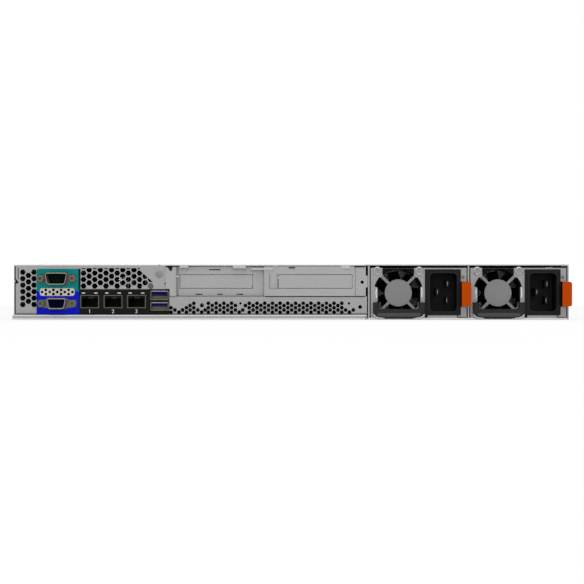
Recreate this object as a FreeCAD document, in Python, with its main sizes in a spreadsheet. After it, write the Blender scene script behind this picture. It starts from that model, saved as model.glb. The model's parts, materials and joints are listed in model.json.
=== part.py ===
# A 1U rack server with its rear side facing -Y: sheet-metal chassis, perforated rear panel,
# connectors, riser bracket, two slide-out power supplies, fan row, drive bays and covers.
import FreeCAD, Part
import math
import os

import Sketcher

DOC = FreeCAD.newDocument("RackServer")
SHEET = DOC.addObject("Spreadsheet::Sheet", "Sizes")
NODES = []
SQRT3 = math.sqrt(3.0)
EPS = 1e-6


# ---------------------------------------------------------------- sizes that know their formula

class Dim:
    """A length or count that carries both its number and its formula in the sheet."""

    def __init__(self, number, formula):
        self.number = float(number)
        self.formula = formula

    def __add__(self, other):
        return Dim(self.number + number_of(other), "(%s + %s)" % (self.formula, formula_of(other)))

    def __radd__(self, other):
        return Dim(number_of(other) + self.number, "(%s + %s)" % (formula_of(other), self.formula))

    def __sub__(self, other):
        return Dim(self.number - number_of(other), "(%s - %s)" % (self.formula, formula_of(other)))

    def __rsub__(self, other):
        return Dim(number_of(other) - self.number, "(%s - %s)" % (formula_of(other), self.formula))

    def __mul__(self, other):
        return Dim(self.number * number_of(other), "(%s * %s)" % (self.formula, formula_of(other)))

    __rmul__ = __mul__

    def __truediv__(self, other):
        return Dim(self.number / number_of(other), "(%s / %s)" % (self.formula, formula_of(other)))

    def __neg__(self):
        return Dim(-self.number, "(0 - %s)" % self.formula)


def number_of(value):
    """Return the plain number of a Dim or of a number."""
    return value.number if isinstance(value, Dim) else float(value)


def formula_of(value):
    """Return the sheet formula of a Dim, or the text of a plain number."""
    return value.formula if isinstance(value, Dim) else repr(float(value))


def size(alias, number, note):
    """Write one driving dimension into the sheet and return it as a Dim."""
    size.row += 1
    SHEET.set("A%d" % size.row, note)
    SHEET.set("B%d" % size.row, str(number))
    SHEET.setAlias("B%d" % size.row, alias)
    return Dim(number, "Sizes." + alias)


size.row = 0


def bind(item, path, value):
    """Bind one property of an object to the sheet, when the value comes from it."""
    if isinstance(value, Dim):
        item.setExpression(path, value.formula)


def place(item, x=0, y=0, z=0):
    """Put an object at a point, each coordinate bound to the sheet."""
    item.Placement.Base = FreeCAD.Vector(number_of(x), number_of(y), number_of(z))
    bind(item, "Placement.Base.x", x)
    bind(item, "Placement.Base.y", y)
    bind(item, "Placement.Base.z", z)


# ---------------------------------------------------------------- short names for modelling

# For each sketch plane: the role of the origin plane, the sign of its normal along the axis
# that the plane is square to, and that axis.
PLANES = {"XY": ("XY_Plane", 1, "Z"), "XZ": ("XZ_Plane", -1, "Y"), "YZ": ("YZ_Plane", 1, "X")}
AXES = {"X": FreeCAD.Vector(1, 0, 0), "Y": FreeCAD.Vector(0, 1, 0), "Z": FreeCAD.Vector(0, 0, 1)}


class Outline:
    """A sketch on one origin plane of a body, with every point tied to the sheet."""

    def __init__(self, body, plane, at=0):
        role, self.sign, self.axis = PLANES[plane]
        self.sketch = body.newObject("Sketcher::SketchObject", "Outline")
        self.sketch.AttachmentSupport = [(origin_feature(body, role), "")]
        self.sketch.MapMode = "FlatFace"
        offset = at * self.sign
        lift = FreeCAD.Vector(0, 0, number_of(offset))
        self.sketch.AttachmentOffset = FreeCAD.Placement(lift, FreeCAD.Rotation())
        bind(self.sketch, "AttachmentOffset.Base.z", offset)
        self.curves = []
        self.rules = []
        self.values = []

    def add(self, curve):
        """Keep one curve for the sketch and return its number."""
        self.curves.append(curve)
        return len(self.curves) - 1

    def rule(self, kind, *arguments):
        """Keep one constraint without a size."""
        self.rules.append(Sketcher.Constraint(kind, *arguments))

    def sized_rule(self, value, kind, *arguments):
        """Keep one constraint whose size is bound to the sheet."""
        self.values.append((len(self.rules), value))
        self.rules.append(Sketcher.Constraint(kind, *arguments, number_of(value)))

    def fix_point(self, curve, point, x, y):
        """Hold one point of a curve at signed distances from the sketch's origin."""
        self.sized_rule(x, "DistanceX", -1, 1, curve, point)
        self.sized_rule(y, "DistanceY", -1, 1, curve, point)

    def finish(self):
        """Write all curves and constraints into the sketch in one go."""
        self.sketch.addGeometry(self.curves)
        self.sketch.addConstraint(self.rules)
        for index, value in self.values:
            bind(self.sketch, "Constraints[%d]" % index, value)
        return self.sketch

    def loop(self, points):
        """Add a closed loop of straight lines through the points."""
        flat = [FreeCAD.Vector(number_of(x), number_of(y), 0) for x, y in points]
        count = len(flat)
        lines = [self.add(Part.LineSegment(flat[i], flat[(i + 1) % count])) for i in range(count)]
        for i, (x, y) in enumerate(points):
            self.rule("Coincident", lines[i - 1], 2, lines[i], 1)
            self.fix_point(lines[i], 1, x, y)
        return self

    def box(self, x0, y0, x1, y1):
        """Add a rectangle between two corners."""
        return self.loop([(x0, y0), (x1, y0), (x1, y1), (x0, y1)])

    def centred(self, x, y, width, height):
        """Add a rectangle about a centre."""
        return self.box(x - width / 2, y - height / 2, x + width / 2, y + height / 2)

    def circle(self, x, y, radius):
        """Add a circle."""
        centre = FreeCAD.Vector(number_of(x), number_of(y), 0)
        ring = self.add(Part.Circle(centre, AXES["Z"], number_of(radius)))
        self.fix_point(ring, 3, x, y)
        self.sized_rule(radius, "Radius", ring)
        return self

    def hexagon(self, x, y, flats):
        """Add a hexagon with corners to the left and right."""
        corner = flats / SQRT3
        half = flats / 2
        return self.loop([(x + corner, y), (x + corner / 2, y + half), (x - corner / 2, y + half),
                          (x - corner, y), (x - corner / 2, y - half), (x + corner / 2, y - half)])

    def rounded(self, x0, y0, x1, y1, radius):
        """Add a rectangle with round corners."""
        corners = [(x0 + radius, y0 + radius, 180), (x1 - radius, y0 + radius, 270),
                   (x1 - radius, y1 - radius, 0), (x0 + radius, y1 - radius, 90)]
        arcs = []
        for x, y, start in corners:
            middle = FreeCAD.Vector(number_of(x), number_of(y), 0)
            ring = Part.Circle(middle, AXES["Z"], number_of(radius))
            arc = self.add(Part.ArcOfCircle(ring, math.radians(start), math.radians(start + 90)))
            arcs.append(arc)
            self.fix_point(arc, 3, x, y)
            self.sized_rule(radius, "Radius", arc)
            level = ("Horizontal", "Vertical") if start in (0, 180) else ("Vertical", "Horizontal")
            self.rule(level[0], arc, 1, arc, 3)
            self.rule(level[1], arc, 2, arc, 3)
        for i in range(4):
            here = self.curves[arcs[i - 1]].EndPoint
            there = self.curves[arcs[i]].StartPoint
            line = self.add(Part.LineSegment(here, there))
            self.rule("Coincident", arcs[i - 1], 2, line, 1)
            self.rule("Coincident", line, 2, arcs[i], 1)
        return self


def origin_feature(body, role):
    """Return the origin plane or axis of a body that has this role."""
    return [item for item in body.Origin.OriginFeatures if item.Role == role][0]


class Piece:
    """One sub-part: a PartDesign body whose features all grow towards +X, +Y or +Z."""

    def __init__(self, name, x=0, y=0, z=0, node=True):
        self.body = DOC.addObject("PartDesign::Body", name)
        self.body.Label = name
        place(self.body, x, y, z)
        if node:
            NODES.append(self.body)

    def outline(self, plane, at=0):
        return Outline(self.body, plane, at)

    def pad(self, outline, length):
        """Add the outline's area, grown by a length towards the positive axis."""
        return self.extrude("PartDesign::Pad", outline, length, outline.sign < 0)

    def cut(self, outline, length):
        """Remove the outline's area, over a length towards the positive axis."""
        return self.extrude("PartDesign::Pocket", outline, length, outline.sign > 0)

    def extrude(self, kind, outline, length, flip):
        feature = self.body.newObject(kind, "Feature")
        feature.Profile = outline.finish()
        feature.Length = number_of(length)
        bind(feature, "Length", length)
        feature.Reversed = flip
        feature.Refine = False
        return feature

    def row(self, feature, first, second=None):
        """Repeat a feature; each direction is an (axis, step, count) triple."""
        pattern = self.body.newObject("PartDesign::LinearPattern", "Row")
        pattern.Originals = [feature]
        pattern.Refine = False
        for suffix, run in (("", first), ("2", second)):
            if run is None:
                continue
            axis, step, count = run
            setattr(pattern, "Direction" + suffix, (origin_feature(self.body, axis + "_Axis"), [""]))
            setattr(pattern, "Mode" + suffix, "Spacing")
            setattr(pattern, "Offset" + suffix, number_of(step))
            bind(pattern, "Offset" + suffix, step)
            setattr(pattern, "Occurrences" + suffix, int(number_of(count)))
            bind(pattern, "Occurrences" + suffix, count)
        self.body.Tip = pattern
        return pattern

    def ring(self, feature, axis, count):
        """Repeat a feature round an axis."""
        pattern = self.body.newObject("PartDesign::PolarPattern", "Ring")
        pattern.Originals = [feature]
        pattern.Refine = False
        pattern.Axis = (origin_feature(self.body, axis + "_Axis"), [""])
        pattern.Angle = 360
        pattern.Occurrences = int(number_of(count))
        bind(pattern, "Occurrences", count)
        self.body.Tip = pattern
        return pattern

    def round_edges(self, radius, axis, wanted=None):
        """Round the straight edges along an axis, or those of them that are wanted."""
        base = self.body.Tip
        DOC.recompute([base])
        names = []
        for i, edge in enumerate(base.Shape.Edges):
            straight = isinstance(edge.Curve, Part.Line)
            if not straight or abs(edge.tangentAt(edge.FirstParameter).dot(AXES[axis])) < 1 - EPS:
                continue
            if wanted is None or wanted(edge.CenterOfMass):
                names.append("Edge%d" % (i + 1))
        fillet = self.body.newObject("PartDesign::Fillet", "Round")
        fillet.Base = (base, names)
        fillet.Radius = number_of(radius)
        bind(fillet, "Radius", radius)
        return fillet


def block(name, x, y, z, length, width, height):
    """Return a Part box with its corner and its three sizes bound to the sheet."""
    item = DOC.addObject("Part::Box", name)
    for path, value in (("Length", length), ("Width", width), ("Height", height)):
        setattr(item, path, number_of(value))
        bind(item, path, value)
    place(item, x, y, z)
    return item


def rod(name, x, y, z, radius, height, axis="Z"):
    """Return a Part cylinder from a point along an axis."""
    item = DOC.addObject("Part::Cylinder", name)
    item.Radius = number_of(radius)
    bind(item, "Radius", radius)
    item.Height = number_of(height)
    bind(item, "Height", height)
    item.Placement.Rotation = FreeCAD.Rotation(AXES["Z"], AXES[axis])
    place(item, x, y, z)
    return item


def cut_from(name, base, tools):
    """Return a base with its tools taken away."""
    for i, tool in enumerate(tools):
        item = DOC.addObject("Part::Cut", "%s_cut_%d" % (name, i + 1))
        item.Base = base
        item.Tool = tool
        base = item
    return base


def group(name, members):
    """Make one node from several separate solids."""
    item = DOC.addObject("Part::Compound", name)
    item.Label = name
    item.Links = members
    NODES.append(item)
    return item


def copy_of(piece, name, x=0, y=0, z=0):
    """Return a linked copy of a piece's body at another place."""
    link = DOC.addObject("App::Link", name)
    link.LinkedObject = piece.body
    link.LinkTransform = False
    place(link, x, y, z)
    return link


# ---------------------------------------------------------------- driving dimensions

WIDTH = size("chassis_width", 434, "chassis width between its side faces")
HEIGHT = size("chassis_height", 43, "chassis height")
DEPTH = size("chassis_depth", 711, "chassis depth, rear panel to drive bays")
SHEET_T = size("sheet_gauge", 1.0, "steel sheet of the chassis")
COVER_T = size("cover_gauge", 0.8, "steel sheet of the sliding cover")
GAP = size("fit_gap", 0.3, "gap between pieces that move past each other")
LIP_HEIGHT = size("lip_height", 3.8, "height of the hem at the foot of the rear panel")
LIP_DEPTH = size("lip_depth", 3.0, "how far the rear hem stands behind the panel")
PANEL_GAP = size("panel_gap", 0.9, "gap between the rear panel and the power supply cage")

PSU_WIDTH = size("psu_width", 75, "power supply width")
PSU_HEIGHT = size("psu_height", 39.2, "power supply height")
PSU_LENGTH = size("psu_length", 195, "power supply length")
PSU_SKIN = size("psu_gauge", 0.6, "sheet of the power supply case")
PSU_GAP = size("psu_side_gap", 0.9, "gap on each side of a power supply")
CAGE_T = size("cage_gauge", 1.2, "sheet of the power supply cage")

FAN_BORE = size("fan_bore_radius", 18.4, "bore radius of a fan frame")
FAN_TIP = size("fan_tip_radius", 17.7, "tip radius of a fan blade")
FAN_HUB = size("fan_hub_radius", 10.6, "radius of the fan motor hub")
FAN_SQUARE = size("fan_frame_side", 38, "side of a fan frame")
FAN_DEPTH = size("fan_frame_depth", 28, "depth of a fan frame")
FAN_BLADES = size("fan_blade_count", 7, "blades on each rotor")
FAN_SHAFT = size("fan_shaft_radius", 1.5, "radius of a rotor shaft")
SHAFT_FIT = size("shaft_clearance", 0.05, "radial clearance of a shaft in its bearing")
BEARING = size("fan_bearing_radius", 4.0, "outer radius of a fan bearing boss")
BEARING_LENGTH = size("fan_bearing_length", 4.0, "length of a fan bearing boss")
SPOKE = size("fan_spoke_width", 2.2, "width of a fan guard spoke")
GUARD_T = size("fan_guard_gauge", 1.0, "thickness of a fan guard")
ROTOR_LENGTH = size("fan_rotor_length", 15, "length of a rotor hub")
CHASSIS_FANS = 6
FAN_PITCH = size("fan_pitch", 66, "spacing of the chassis fans")
FAN_BANK = size("fan_bank_distance", 372, "rear panel to the chassis fans")

HEX = size("vent_hex_flats", 4.1, "hexagon size in the upper and left vents")
HEX_PITCH = size("vent_hex_pitch", 5.06, "hexagon spacing in the upper and left vents")
SMALL_HEX = size("low_vent_hex_flats", 2.5, "hexagon size in the lower vent")
SMALL_PITCH = size("low_vent_hex_pitch", 3.482, "hexagon spacing in the lower vent")

RISER_LEFT = size("riser_left_edge", 98.3, "middle of the chassis to the riser's left edge")
RISER_RIGHT = size("riser_right_edge", 58.2, "middle of the chassis to the riser's right edge")
RISER_BASE = size("riser_base_height", 18.0, "height of the riser opening's lower edge")
RISER_RECESS = size("riser_recess_depth", 4.0, "how deep the left slot plate lies")
BLANK_GROOVE = size("blank_groove", 0.4, "groove round a slot blank")

BOARD_T = size("board_thickness", 1.6, "thickness of a circuit board")
STANDOFF = size("standoff_height", 6, "height of the board standoffs")

COVER_LENGTH = size("top_cover_length", 520, "length of the sliding cover")
BAY_PITCH = size("drive_bay_pitch", 112, "spacing of the drive bays")
BAY_HEIGHT = size("drive_bay_height", 31, "height of the roof over the drive bays")
BEZEL_DEPTH = size("carrier_bezel_depth", 12, "depth of a carrier's bezel")
DRIVE_LENGTH = size("drive_length", 146, "length of a hard drive")
DRIVE_WIDTH = size("drive_width", 101.6, "width of a hard drive")
DRIVE_HEIGHT = size("drive_height", 26.1, "height of a hard drive")

REAR = -DEPTH / 2
FRONT = DEPTH / 2
SIDE = WIDTH / 2
INNER = SIDE - SHEET_T
WALL_TOP = HEIGHT - SHEET_T
DIVIDER_2 = INNER - PSU_WIDTH - PSU_GAP * 2 - CAGE_T
DIVIDER_1 = DIVIDER_2 - PSU_WIDTH - PSU_GAP * 2 - CAGE_T
PSU_X = (DIVIDER_1 + CAGE_T + PSU_GAP, DIVIDER_2 + CAGE_T + PSU_GAP)
PSU_Z = SHEET_T + 0.2
PSU_BAY_DEPTH = PSU_LENGTH + 12
BOARD_TOP = SHEET_T + STANDOFF + BOARD_T


# ---------------------------------------------------------------- chassis and rear panel

RAIL_HOLE_RADIUS = size("rail_hole_radius", 2.5, "hole for a slide rail screw")
RAIL_HOLE_HEIGHT = size("rail_hole_height", 21.5, "height of the rail holes")
RAIL_HOLE_PITCH = size("rail_hole_pitch", 350, "spacing of the rail holes along the side")


def chassis_tray():
    """The folded floor and side walls, with the rolled hem under the rear panel."""
    piece = Piece("chassis_tray", y=REAR)
    wall = piece.outline("XZ")
    wall.loop([(-SIDE, 0), (SIDE, 0), (SIDE, WALL_TOP), (INNER, WALL_TOP), (INNER, SHEET_T),
               (-INNER, SHEET_T), (-INNER, WALL_TOP), (-SIDE, WALL_TOP)])
    piece.pad(wall, DEPTH)
    holes = piece.outline("YZ", -SIDE - 1)
    for y in (DEPTH / 2 - RAIL_HOLE_PITCH / 2, DEPTH / 2 + RAIL_HOLE_PITCH / 2):
        holes.circle(y, RAIL_HOLE_HEIGHT, RAIL_HOLE_RADIUS)
    piece.cut(holes, WIDTH + 2)
    slots = piece.outline("YZ", -SIDE - 1)
    slots.rounded(DEPTH - 200, 36, DEPTH - 190, 39, 1.4)
    piece.row(piece.cut(slots, WIDTH + 2), ("Y", 14, 4))
    return piece


LABEL_BASE = LIP_HEIGHT + 0.1
PORT_LEFT = size("port_label_left", 199.3, "middle of the chassis to the port label's left edge")
PORT_RIGHT = size("port_label_right", 166.3, "middle of the chassis to the port label's right edge")
PORT_TOP = size("port_label_top", 39.6, "top of the port label")
IO_RIGHT = size("io_label_right", 95.5, "middle of the chassis to the black label's right edge")
IO_TOP = size("io_label_top", 23.7, "top of the black label")
LABEL_T = size("label_thickness", 0.4, "thickness of the connector labels")
SERIAL = (size("serial_x", 183.6, "serial connector, left of the middle") * -1,
          size("serial_height", 31.9, "serial connector height"))
VGA = (size("vga_x", 183.3, "video connector, left of the middle") * -1,
       size("vga_height", 12.4, "video connector height"))
DSUB_HALF = size("dsub_half_window", 15.2, "half length of a connector's window")
STRIP = (size("strip_x", 183.2, "vent strip, left of the middle") * -1,
         size("strip_height", 21.5, "vent strip height"))
STRIP_LENGTH = size("strip_length", 27.4, "length of the vent strip")
STRIP_WIDTH = size("strip_width", 6.1, "width of the vent strip")
JACK_WIDTH = size("jack_width", 14.8, "width of a network jack")
JACK_HEIGHT = size("jack_height", 10.4, "height of a network jack")
JACK_PITCH = size("jack_pitch", 18.3, "spacing of the network jacks")
JACK_X = size("first_jack_x", 157.8, "first network jack, left of the middle") * -1
JACK_Z = size("jack_height_centre", 14.0, "height of the network jacks' middle")
USB_X = size("usb_x", 103.1, "USB stack, left of the middle") * -1
USB_Z = size("usb_height", 14.7, "height of the USB stack's middle")
USB_WIDTH = size("usb_width", 14.2, "width of the USB stack")
USB_HEIGHT = size("usb_stack_height", 16.0, "height of the USB stack")
SERIAL_SHELL = (size("serial_shell_width", 17.4, "serial shell width"), 9.3)
VGA_SHELL = (size("vga_shell_width", 15.4, "video shell width"), 8.4)


def dsub_window(outline, centre, shell):
    """Add the window of a D connector: a long screw slot with a box for the shell."""
    x, z = centre
    half, tall = shell[0] / 2 + 0.5, shell[1] / 2 + 0.5
    tip = 3.0
    shoulder = 3.5
    outline.loop([(x - DSUB_HALF, z - tip), (x - half, z - shoulder), (x - half + 1.6, z - tall),
                  (x + half - 1.6, z - tall), (x + half, z - shoulder), (x + DSUB_HALF, z - tip),
                  (x + DSUB_HALF, z + tip), (x + half, z + shoulder), (x + half, z + tall),
                  (x - half, z + tall), (x - half, z + shoulder), (x - DSUB_HALF, z + tip)])


def jack_windows(outline, margin):
    """Add the three network jack windows and the USB window."""
    for i in range(3):
        outline.centred(JACK_X + JACK_PITCH * i, JACK_Z, JACK_WIDTH + margin * 2, JACK_HEIGHT + margin * 2)
    outline.centred(USB_X, USB_Z, USB_WIDTH + margin * 2, USB_HEIGHT + margin * 2)


LOW_VENT_X = size("low_vent_x", 32.93, "lower vent's first full column, left of the middle") * -1
LOW_VENT_BASE = size("low_vent_base", 5.7, "height of the lower vent's lowest hexagon")
MID_VENT_X = size("mid_vent_x", 64.9, "middle vent's first column, left of the middle") * -1
LEFT_VENT_X = size("left_vent_x", 210.1, "left vent's first column, left of the middle") * -1
LEFT_VENT_BASE = size("left_vent_base", 11.7, "height of the left vent's lowest hexagon")
UPPER_VENT_X = size("upper_vent_x", 162.6, "upper vent's first column, left of the middle") * -1
UPPER_VENT_BASE = size("upper_vent_base", 26.2, "height of the upper vent's lowest hexagon")
STRIP_HOLE = size("strip_hole", 2.1, "hexagon size in the vent strip")
STRIP_HOLE_PITCH = size("strip_hole_pitch", 5.95, "spacing of the holes in the vent strip")


def prism(points):
    """Return a straight prism over an outline in the panel's plane, through its sheet."""
    corners = [FreeCAD.Vector(x, -1, z) for x, z in points]
    face = Part.Face(Part.makePolygon(corners + corners[:1]))
    return face.extrude(FreeCAD.Vector(0, SHEET_T.number + 2, 0))


def hexagon_prism(x, z, flats):
    """Return a hexagonal prism with corners to the left and right."""
    reach = flats / SQRT3
    angles = [math.radians(60 * k) for k in range(6)]
    return prism([(x + reach * math.cos(a), z + reach * math.sin(a)) for a in angles])


def honeycomb(left, base, flats, pitch, columns, rows):
    """Return the hexagonal prisms of two interleaved grids.

    columns and rows are pairs: the first grid's count, then that of the grid between.
    """
    step = pitch * SQRT3 / 2
    return [hexagon_prism(left + step * (2 * i + grid), base + pitch * (j + grid / 2), flats)
            for grid in (0, 1) for i in range(columns[grid]) for j in range(rows[grid])]


def low_vent_extras(mid_x, low_x, base, flats, pitch):
    """Return the loose hexagons round the screw places of the lower vent, and its screw holes."""
    step = pitch * SQRT3 / 2
    # Heights in half pitches, for each column counted from the vent beside it.
    beside_middle = {-0.85: (1,), -1.75: (0,), -2.75: (1,), -3.8: (0, 2, 4), -4.75: (1, 3),
                     -5.7: (0, 2), -6.7: (1,), -7.65: (0,), -8.7: (1,), -9.7: (0, 2)}
    beside_low = {-2.6: (0,), -1.7: (1,), -1: (3,), 25: (1,), 26: (0,), 27: (1,)}
    holes = [hexagon_prism(start + step * column, base + pitch / 2 * height, flats)
             for start, columns in ((mid_x, beside_middle), (low_x, beside_low))
             for column, heights in columns.items() for height in heights]
    screws = ((mid_x - step * 1.68, 5.4, 1.6), (low_x - step * 2.31, 6.9, 1.0),
              (low_x + step * 25.86, 6.9, 1.0), (low_x + step * 28.76, 4.1, 1.5))
    along = AXES["Y"]
    return holes + [Part.makeCylinder(radius, SHEET_T.number + 2, FreeCAD.Vector(x, -1, base + rise), along)
                    for x, rise, radius in screws]


def panel_vents():
    """Return all the perforations of the rear panel as one compound."""
    hex_size, pitch = HEX.number, HEX_PITCH.number
    upper_x, upper_z = UPPER_VENT_X.number, UPPER_VENT_BASE.number
    top = WALL_TOP.number - 1.8
    window = prism([(upper_x - 4, upper_z - 2.5), (-113, upper_z - 2.5), (-108.2, 29.2), (-118.6, 38.4),
                    (-118.6, top), (upper_x - 4, top)])
    upper = honeycomb(upper_x, upper_z, hex_size, pitch, (7, 6), (4, 3))
    holes = [hole.common(window) for hole in upper]
    holes += honeycomb(LEFT_VENT_X.number, LEFT_VENT_BASE.number, hex_size, pitch, (2, 1), (6, 5))
    small, fine = SMALL_HEX.number, SMALL_PITCH.number
    low_x, low_z, mid_x = LOW_VENT_X.number, LOW_VENT_BASE.number, MID_VENT_X.number
    holes += honeycomb(low_x, low_z, small, fine, (13, 12), (3, 2))
    holes += honeycomb(mid_x, low_z, small, fine, (4, 4), (3, 2))
    holes += low_vent_extras(mid_x, low_x, low_z, small, fine)
    strip_x, strip_z = STRIP[0].number, STRIP[1].number
    for count, height in ((5, 0), (4, 1.6), (4, -1.6)):
        first = strip_x - STRIP_HOLE_PITCH.number * (count - 1) / 2
        holes += [hexagon_prism(first + STRIP_HOLE_PITCH.number * i, strip_z + height, STRIP_HOLE.number)
                  for i in range(count)]
    return Part.makeCompound([solid for hole in holes for solid in hole.Solids if solid.Volume > EPS])


def rear_panel():
    """The perforated panel that carries the connectors and the riser opening."""
    piece = Piece("rear_panel_plate", y=REAR, node=False)
    left = -INNER + GAP
    right = DIVIDER_1 - PANEL_GAP
    plate = piece.outline("XZ")
    plate.loop([(left, SHEET_T), (right, SHEET_T), (right, RISER_BASE), (-RISER_LEFT + 3, RISER_BASE),
                (-RISER_LEFT + 3, WALL_TOP), (left, WALL_TOP)])
    piece.pad(plate, SHEET_T)
    hem = piece.outline("XZ", -LIP_DEPTH)
    hem.box(-SIDE - 0.8, 0, right - 1.5, LIP_HEIGHT)
    piece.pad(hem, LIP_DEPTH)
    piece.round_edges(1.3, "X", lambda p: p.y < -EPS and p.z > LIP_HEIGHT.number - EPS)
    panel_windows(piece)
    panel_marks(piece)
    vents = DOC.addObject("Part::Feature", "rear_panel_vents")
    vents.Shape = panel_vents()
    place(vents, y=REAR)
    panel = DOC.addObject("Part::Cut", "rear_panel")
    panel.Label = "rear_panel"
    panel.Base = piece.body
    panel.Tool = vents
    NODES.append(panel)
    return panel


def panel_windows(piece):
    """Cut the windows for the connectors."""
    windows = piece.outline("XZ", -1)
    dsub_window(windows, SERIAL, SERIAL_SHELL)
    dsub_window(windows, VGA, VGA_SHELL)
    piece.cut(windows, SHEET_T + 2)
    sockets = piece.outline("XZ", -1)
    jack_windows(sockets, GAP)
    piece.cut(sockets, SHEET_T + 2)


def panel_marks(piece):
    """Add the rivet and the pressed boss, and cut the slit and notch at the left edge."""
    marks = piece.outline("XZ", -0.5)
    marks.circle(-110.1, 26.2, 2.1)
    marks.circle(-103.4, 35.4, 2.8)
    piece.pad(marks, 0.5)
    slits = piece.outline("XZ", -1)
    slits.box(-214.1, 31.5, -213.5, 40.2)
    slits.loop([(-216, 32.4), (-213.2, 28.8), (-216, 27.8)])
    slits.circle(-98.3, 28.0, 1.0)
    piece.cut(slits, SHEET_T + 2)


def port_label():
    """The two-colour label plate round the serial and video connectors."""
    piece = Piece("port_label", y=REAR)
    plate = piece.outline("XZ", -LABEL_T)
    plate.box(-PORT_LEFT, LABEL_BASE, -PORT_RIGHT, PORT_TOP)
    dsub_window(plate, SERIAL, SERIAL_SHELL)
    dsub_window(plate, VGA, VGA_SHELL)
    plate.rounded(STRIP[0] - STRIP_LENGTH / 2, STRIP[1] - STRIP_WIDTH / 2,
                  STRIP[0] + STRIP_LENGTH / 2, STRIP[1] + STRIP_WIDTH / 2, STRIP_WIDTH / 2 - 1.2)
    piece.pad(plate, LABEL_T)
    corner = (-PORT_LEFT.number, PORT_TOP.number)
    piece.round_edges(1.6, "Y", lambda p: abs(p.x - corner[0]) < 1 and abs(p.z - corner[1]) < 1)
    return piece


def io_label():
    """The black label plate round the network and USB sockets."""
    piece = Piece("io_label", y=REAR)
    plate = piece.outline("XZ", -LABEL_T)
    plate.box(-PORT_RIGHT + 0.1, LABEL_BASE, -IO_RIGHT, IO_TOP)
    jack_windows(plate, GAP)
    piece.pad(plate, LABEL_T)
    return piece


# ---------------------------------------------------------------- connectors at the rear

FLANGE_T = size("flange_thickness", 1.0, "thickness of a D connector's flange")
FLANGE_WIDTH = size("flange_width", 12.0, "width of a D connector's flange")
FLANGE_HALF = size("flange_half_length", 16.2, "half length of a D connector's flange")
SHELL_OUT = size("shell_out", 5.8, "how far a D shell stands out of the panel")
SHELL_WALL = size("shell_wall", 0.7, "wall of a D connector's shell")
SCREW_SPAN = size("jackscrew_span", 25.0, "spacing of a connector's two jackscrews")


def d_connector(name, centre, shell, filled):
    """A D connector: flange, body behind it and a D shell, open in front or filled."""
    x, z = centre
    piece = Piece(name, x=x, y=REAR + SHEET_T, z=z)
    flange = piece.outline("XZ")
    flange.centred(0, 0, FLANGE_HALF * 2, FLANGE_WIDTH)
    flange.circle(-SCREW_SPAN / 2, 0, 1.5)
    flange.circle(SCREW_SPAN / 2, 0, 1.5)
    piece.pad(flange, FLANGE_T)
    body = piece.outline("XZ", FLANGE_T)
    body.centred(0, 0, shell[0] + 2, FLANGE_WIDTH - 1)
    piece.pad(body, 11)
    shell_depth = SHELL_OUT + SHEET_T
    half, tall = shell[0] / 2, shell[1] / 2
    rim = piece.outline("XZ", -shell_depth)
    rim.loop([(-half + 1.7, -tall), (half - 1.7, -tall), (half, tall), (-half, tall)])
    piece.pad(rim, shell_depth)
    piece.round_edges(2.0, "Y", lambda p: p.y < 0 and abs(p.z) > 3.5)
    wall = SHELL_WALL
    hollow = piece.outline("XZ", -shell_depth)
    hollow.loop([(-half + 2.5, -tall + wall), (half - 2.5, -tall + wall), (half - 1.5, -tall + 1.6),
                 (half - wall - 0.1, tall - 1.4), (half - 1.6, tall - wall), (-half + 1.6, tall - wall),
                 (-half + wall + 0.1, tall - 1.4), (-half + 1.5, -tall + 1.6)])
    piece.cut(hollow, 1.2 if filled else shell_depth)
    pin_row(piece, shell_depth, filled)
    return piece


def pin_row(piece, shell_depth, filled):
    """Add the contact pins of a male connector, or the contact holes of a female one."""
    rows = ((5, 1.42), (4, -1.42)) if not filled else ((5, 2.0), (5, 0.0), (5, -2.0))
    pitch = 2.29 if filled else 2.77
    for i, (count, height) in enumerate(rows):
        shift = pitch / 4 * (i % 2 * 2 - 1) if filled else 0
        contact = piece.outline("XZ", -shell_depth + 1.2)
        side = 0.45
        contact.centred(-pitch * (count - 1) / 2 + shift, height, side * 2, side * 2)
        feature = piece.cut(contact, 2.5) if filled else piece.pad(contact, shell_depth - 1.2)
        piece.row(feature, ("X", pitch, count))


JACKSCREW_FLATS = size("jackscrew_flats", 4.6, "jackscrew size over its flats")
JACKSCREW_OUT = size("jackscrew_out", 4.0, "how far a jackscrew stands in front of its flange")
JACKSCREW_BORE = size("jackscrew_bore", 1.4, "radius of a jackscrew's threaded hole")


def jackscrews():
    """The four hexagonal jackscrews, one solid each, screwed through the flanges."""
    screws = []
    for label, (x, z) in (("serial", SERIAL), ("vga", VGA)):
        for side in (-1, 1):
            name = "jackscrew_%s_%s" % (label, "left" if side < 0 else "right")
            head = DOC.addObject("Part::Prism", name)
            head.Polygon = 6
            head.Circumradius = number_of(JACKSCREW_FLATS) / SQRT3
            bind(head, "Circumradius", JACKSCREW_FLATS / SQRT3)
            head.Height = number_of(JACKSCREW_OUT)
            bind(head, "Height", JACKSCREW_OUT)
            head.Placement.Rotation = FreeCAD.Rotation(AXES["Z"], AXES["Y"])
            at_x = x + SCREW_SPAN / 2 * side
            place(head, at_x, REAR + SHEET_T - JACKSCREW_OUT, z)
            shank = rod(name + "_shank", at_x, REAR + SHEET_T - 0.2, z, 1.45, FLANGE_T + 3, "Y")
            whole = DOC.addObject("Part::Fuse", name + "_whole")
            whole.Base = head
            whole.Tool = shank
            start = REAR + SHEET_T - JACKSCREW_OUT - 1
            thread = rod(name + "_thread", at_x, start, z, JACKSCREW_BORE, JACKSCREW_OUT, "Y")
            screws.append(cut_from(name, whole, [thread]))
    return group("jackscrews", screws)


JACK_DEPTH = size("jack_depth", 21, "depth of a network jack")
JACK_MOUTH = (size("jack_mouth_width", 11.9, "width of a jack's plug opening"),
              size("jack_mouth_height", 6.9, "height of a jack's plug opening"))


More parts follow.
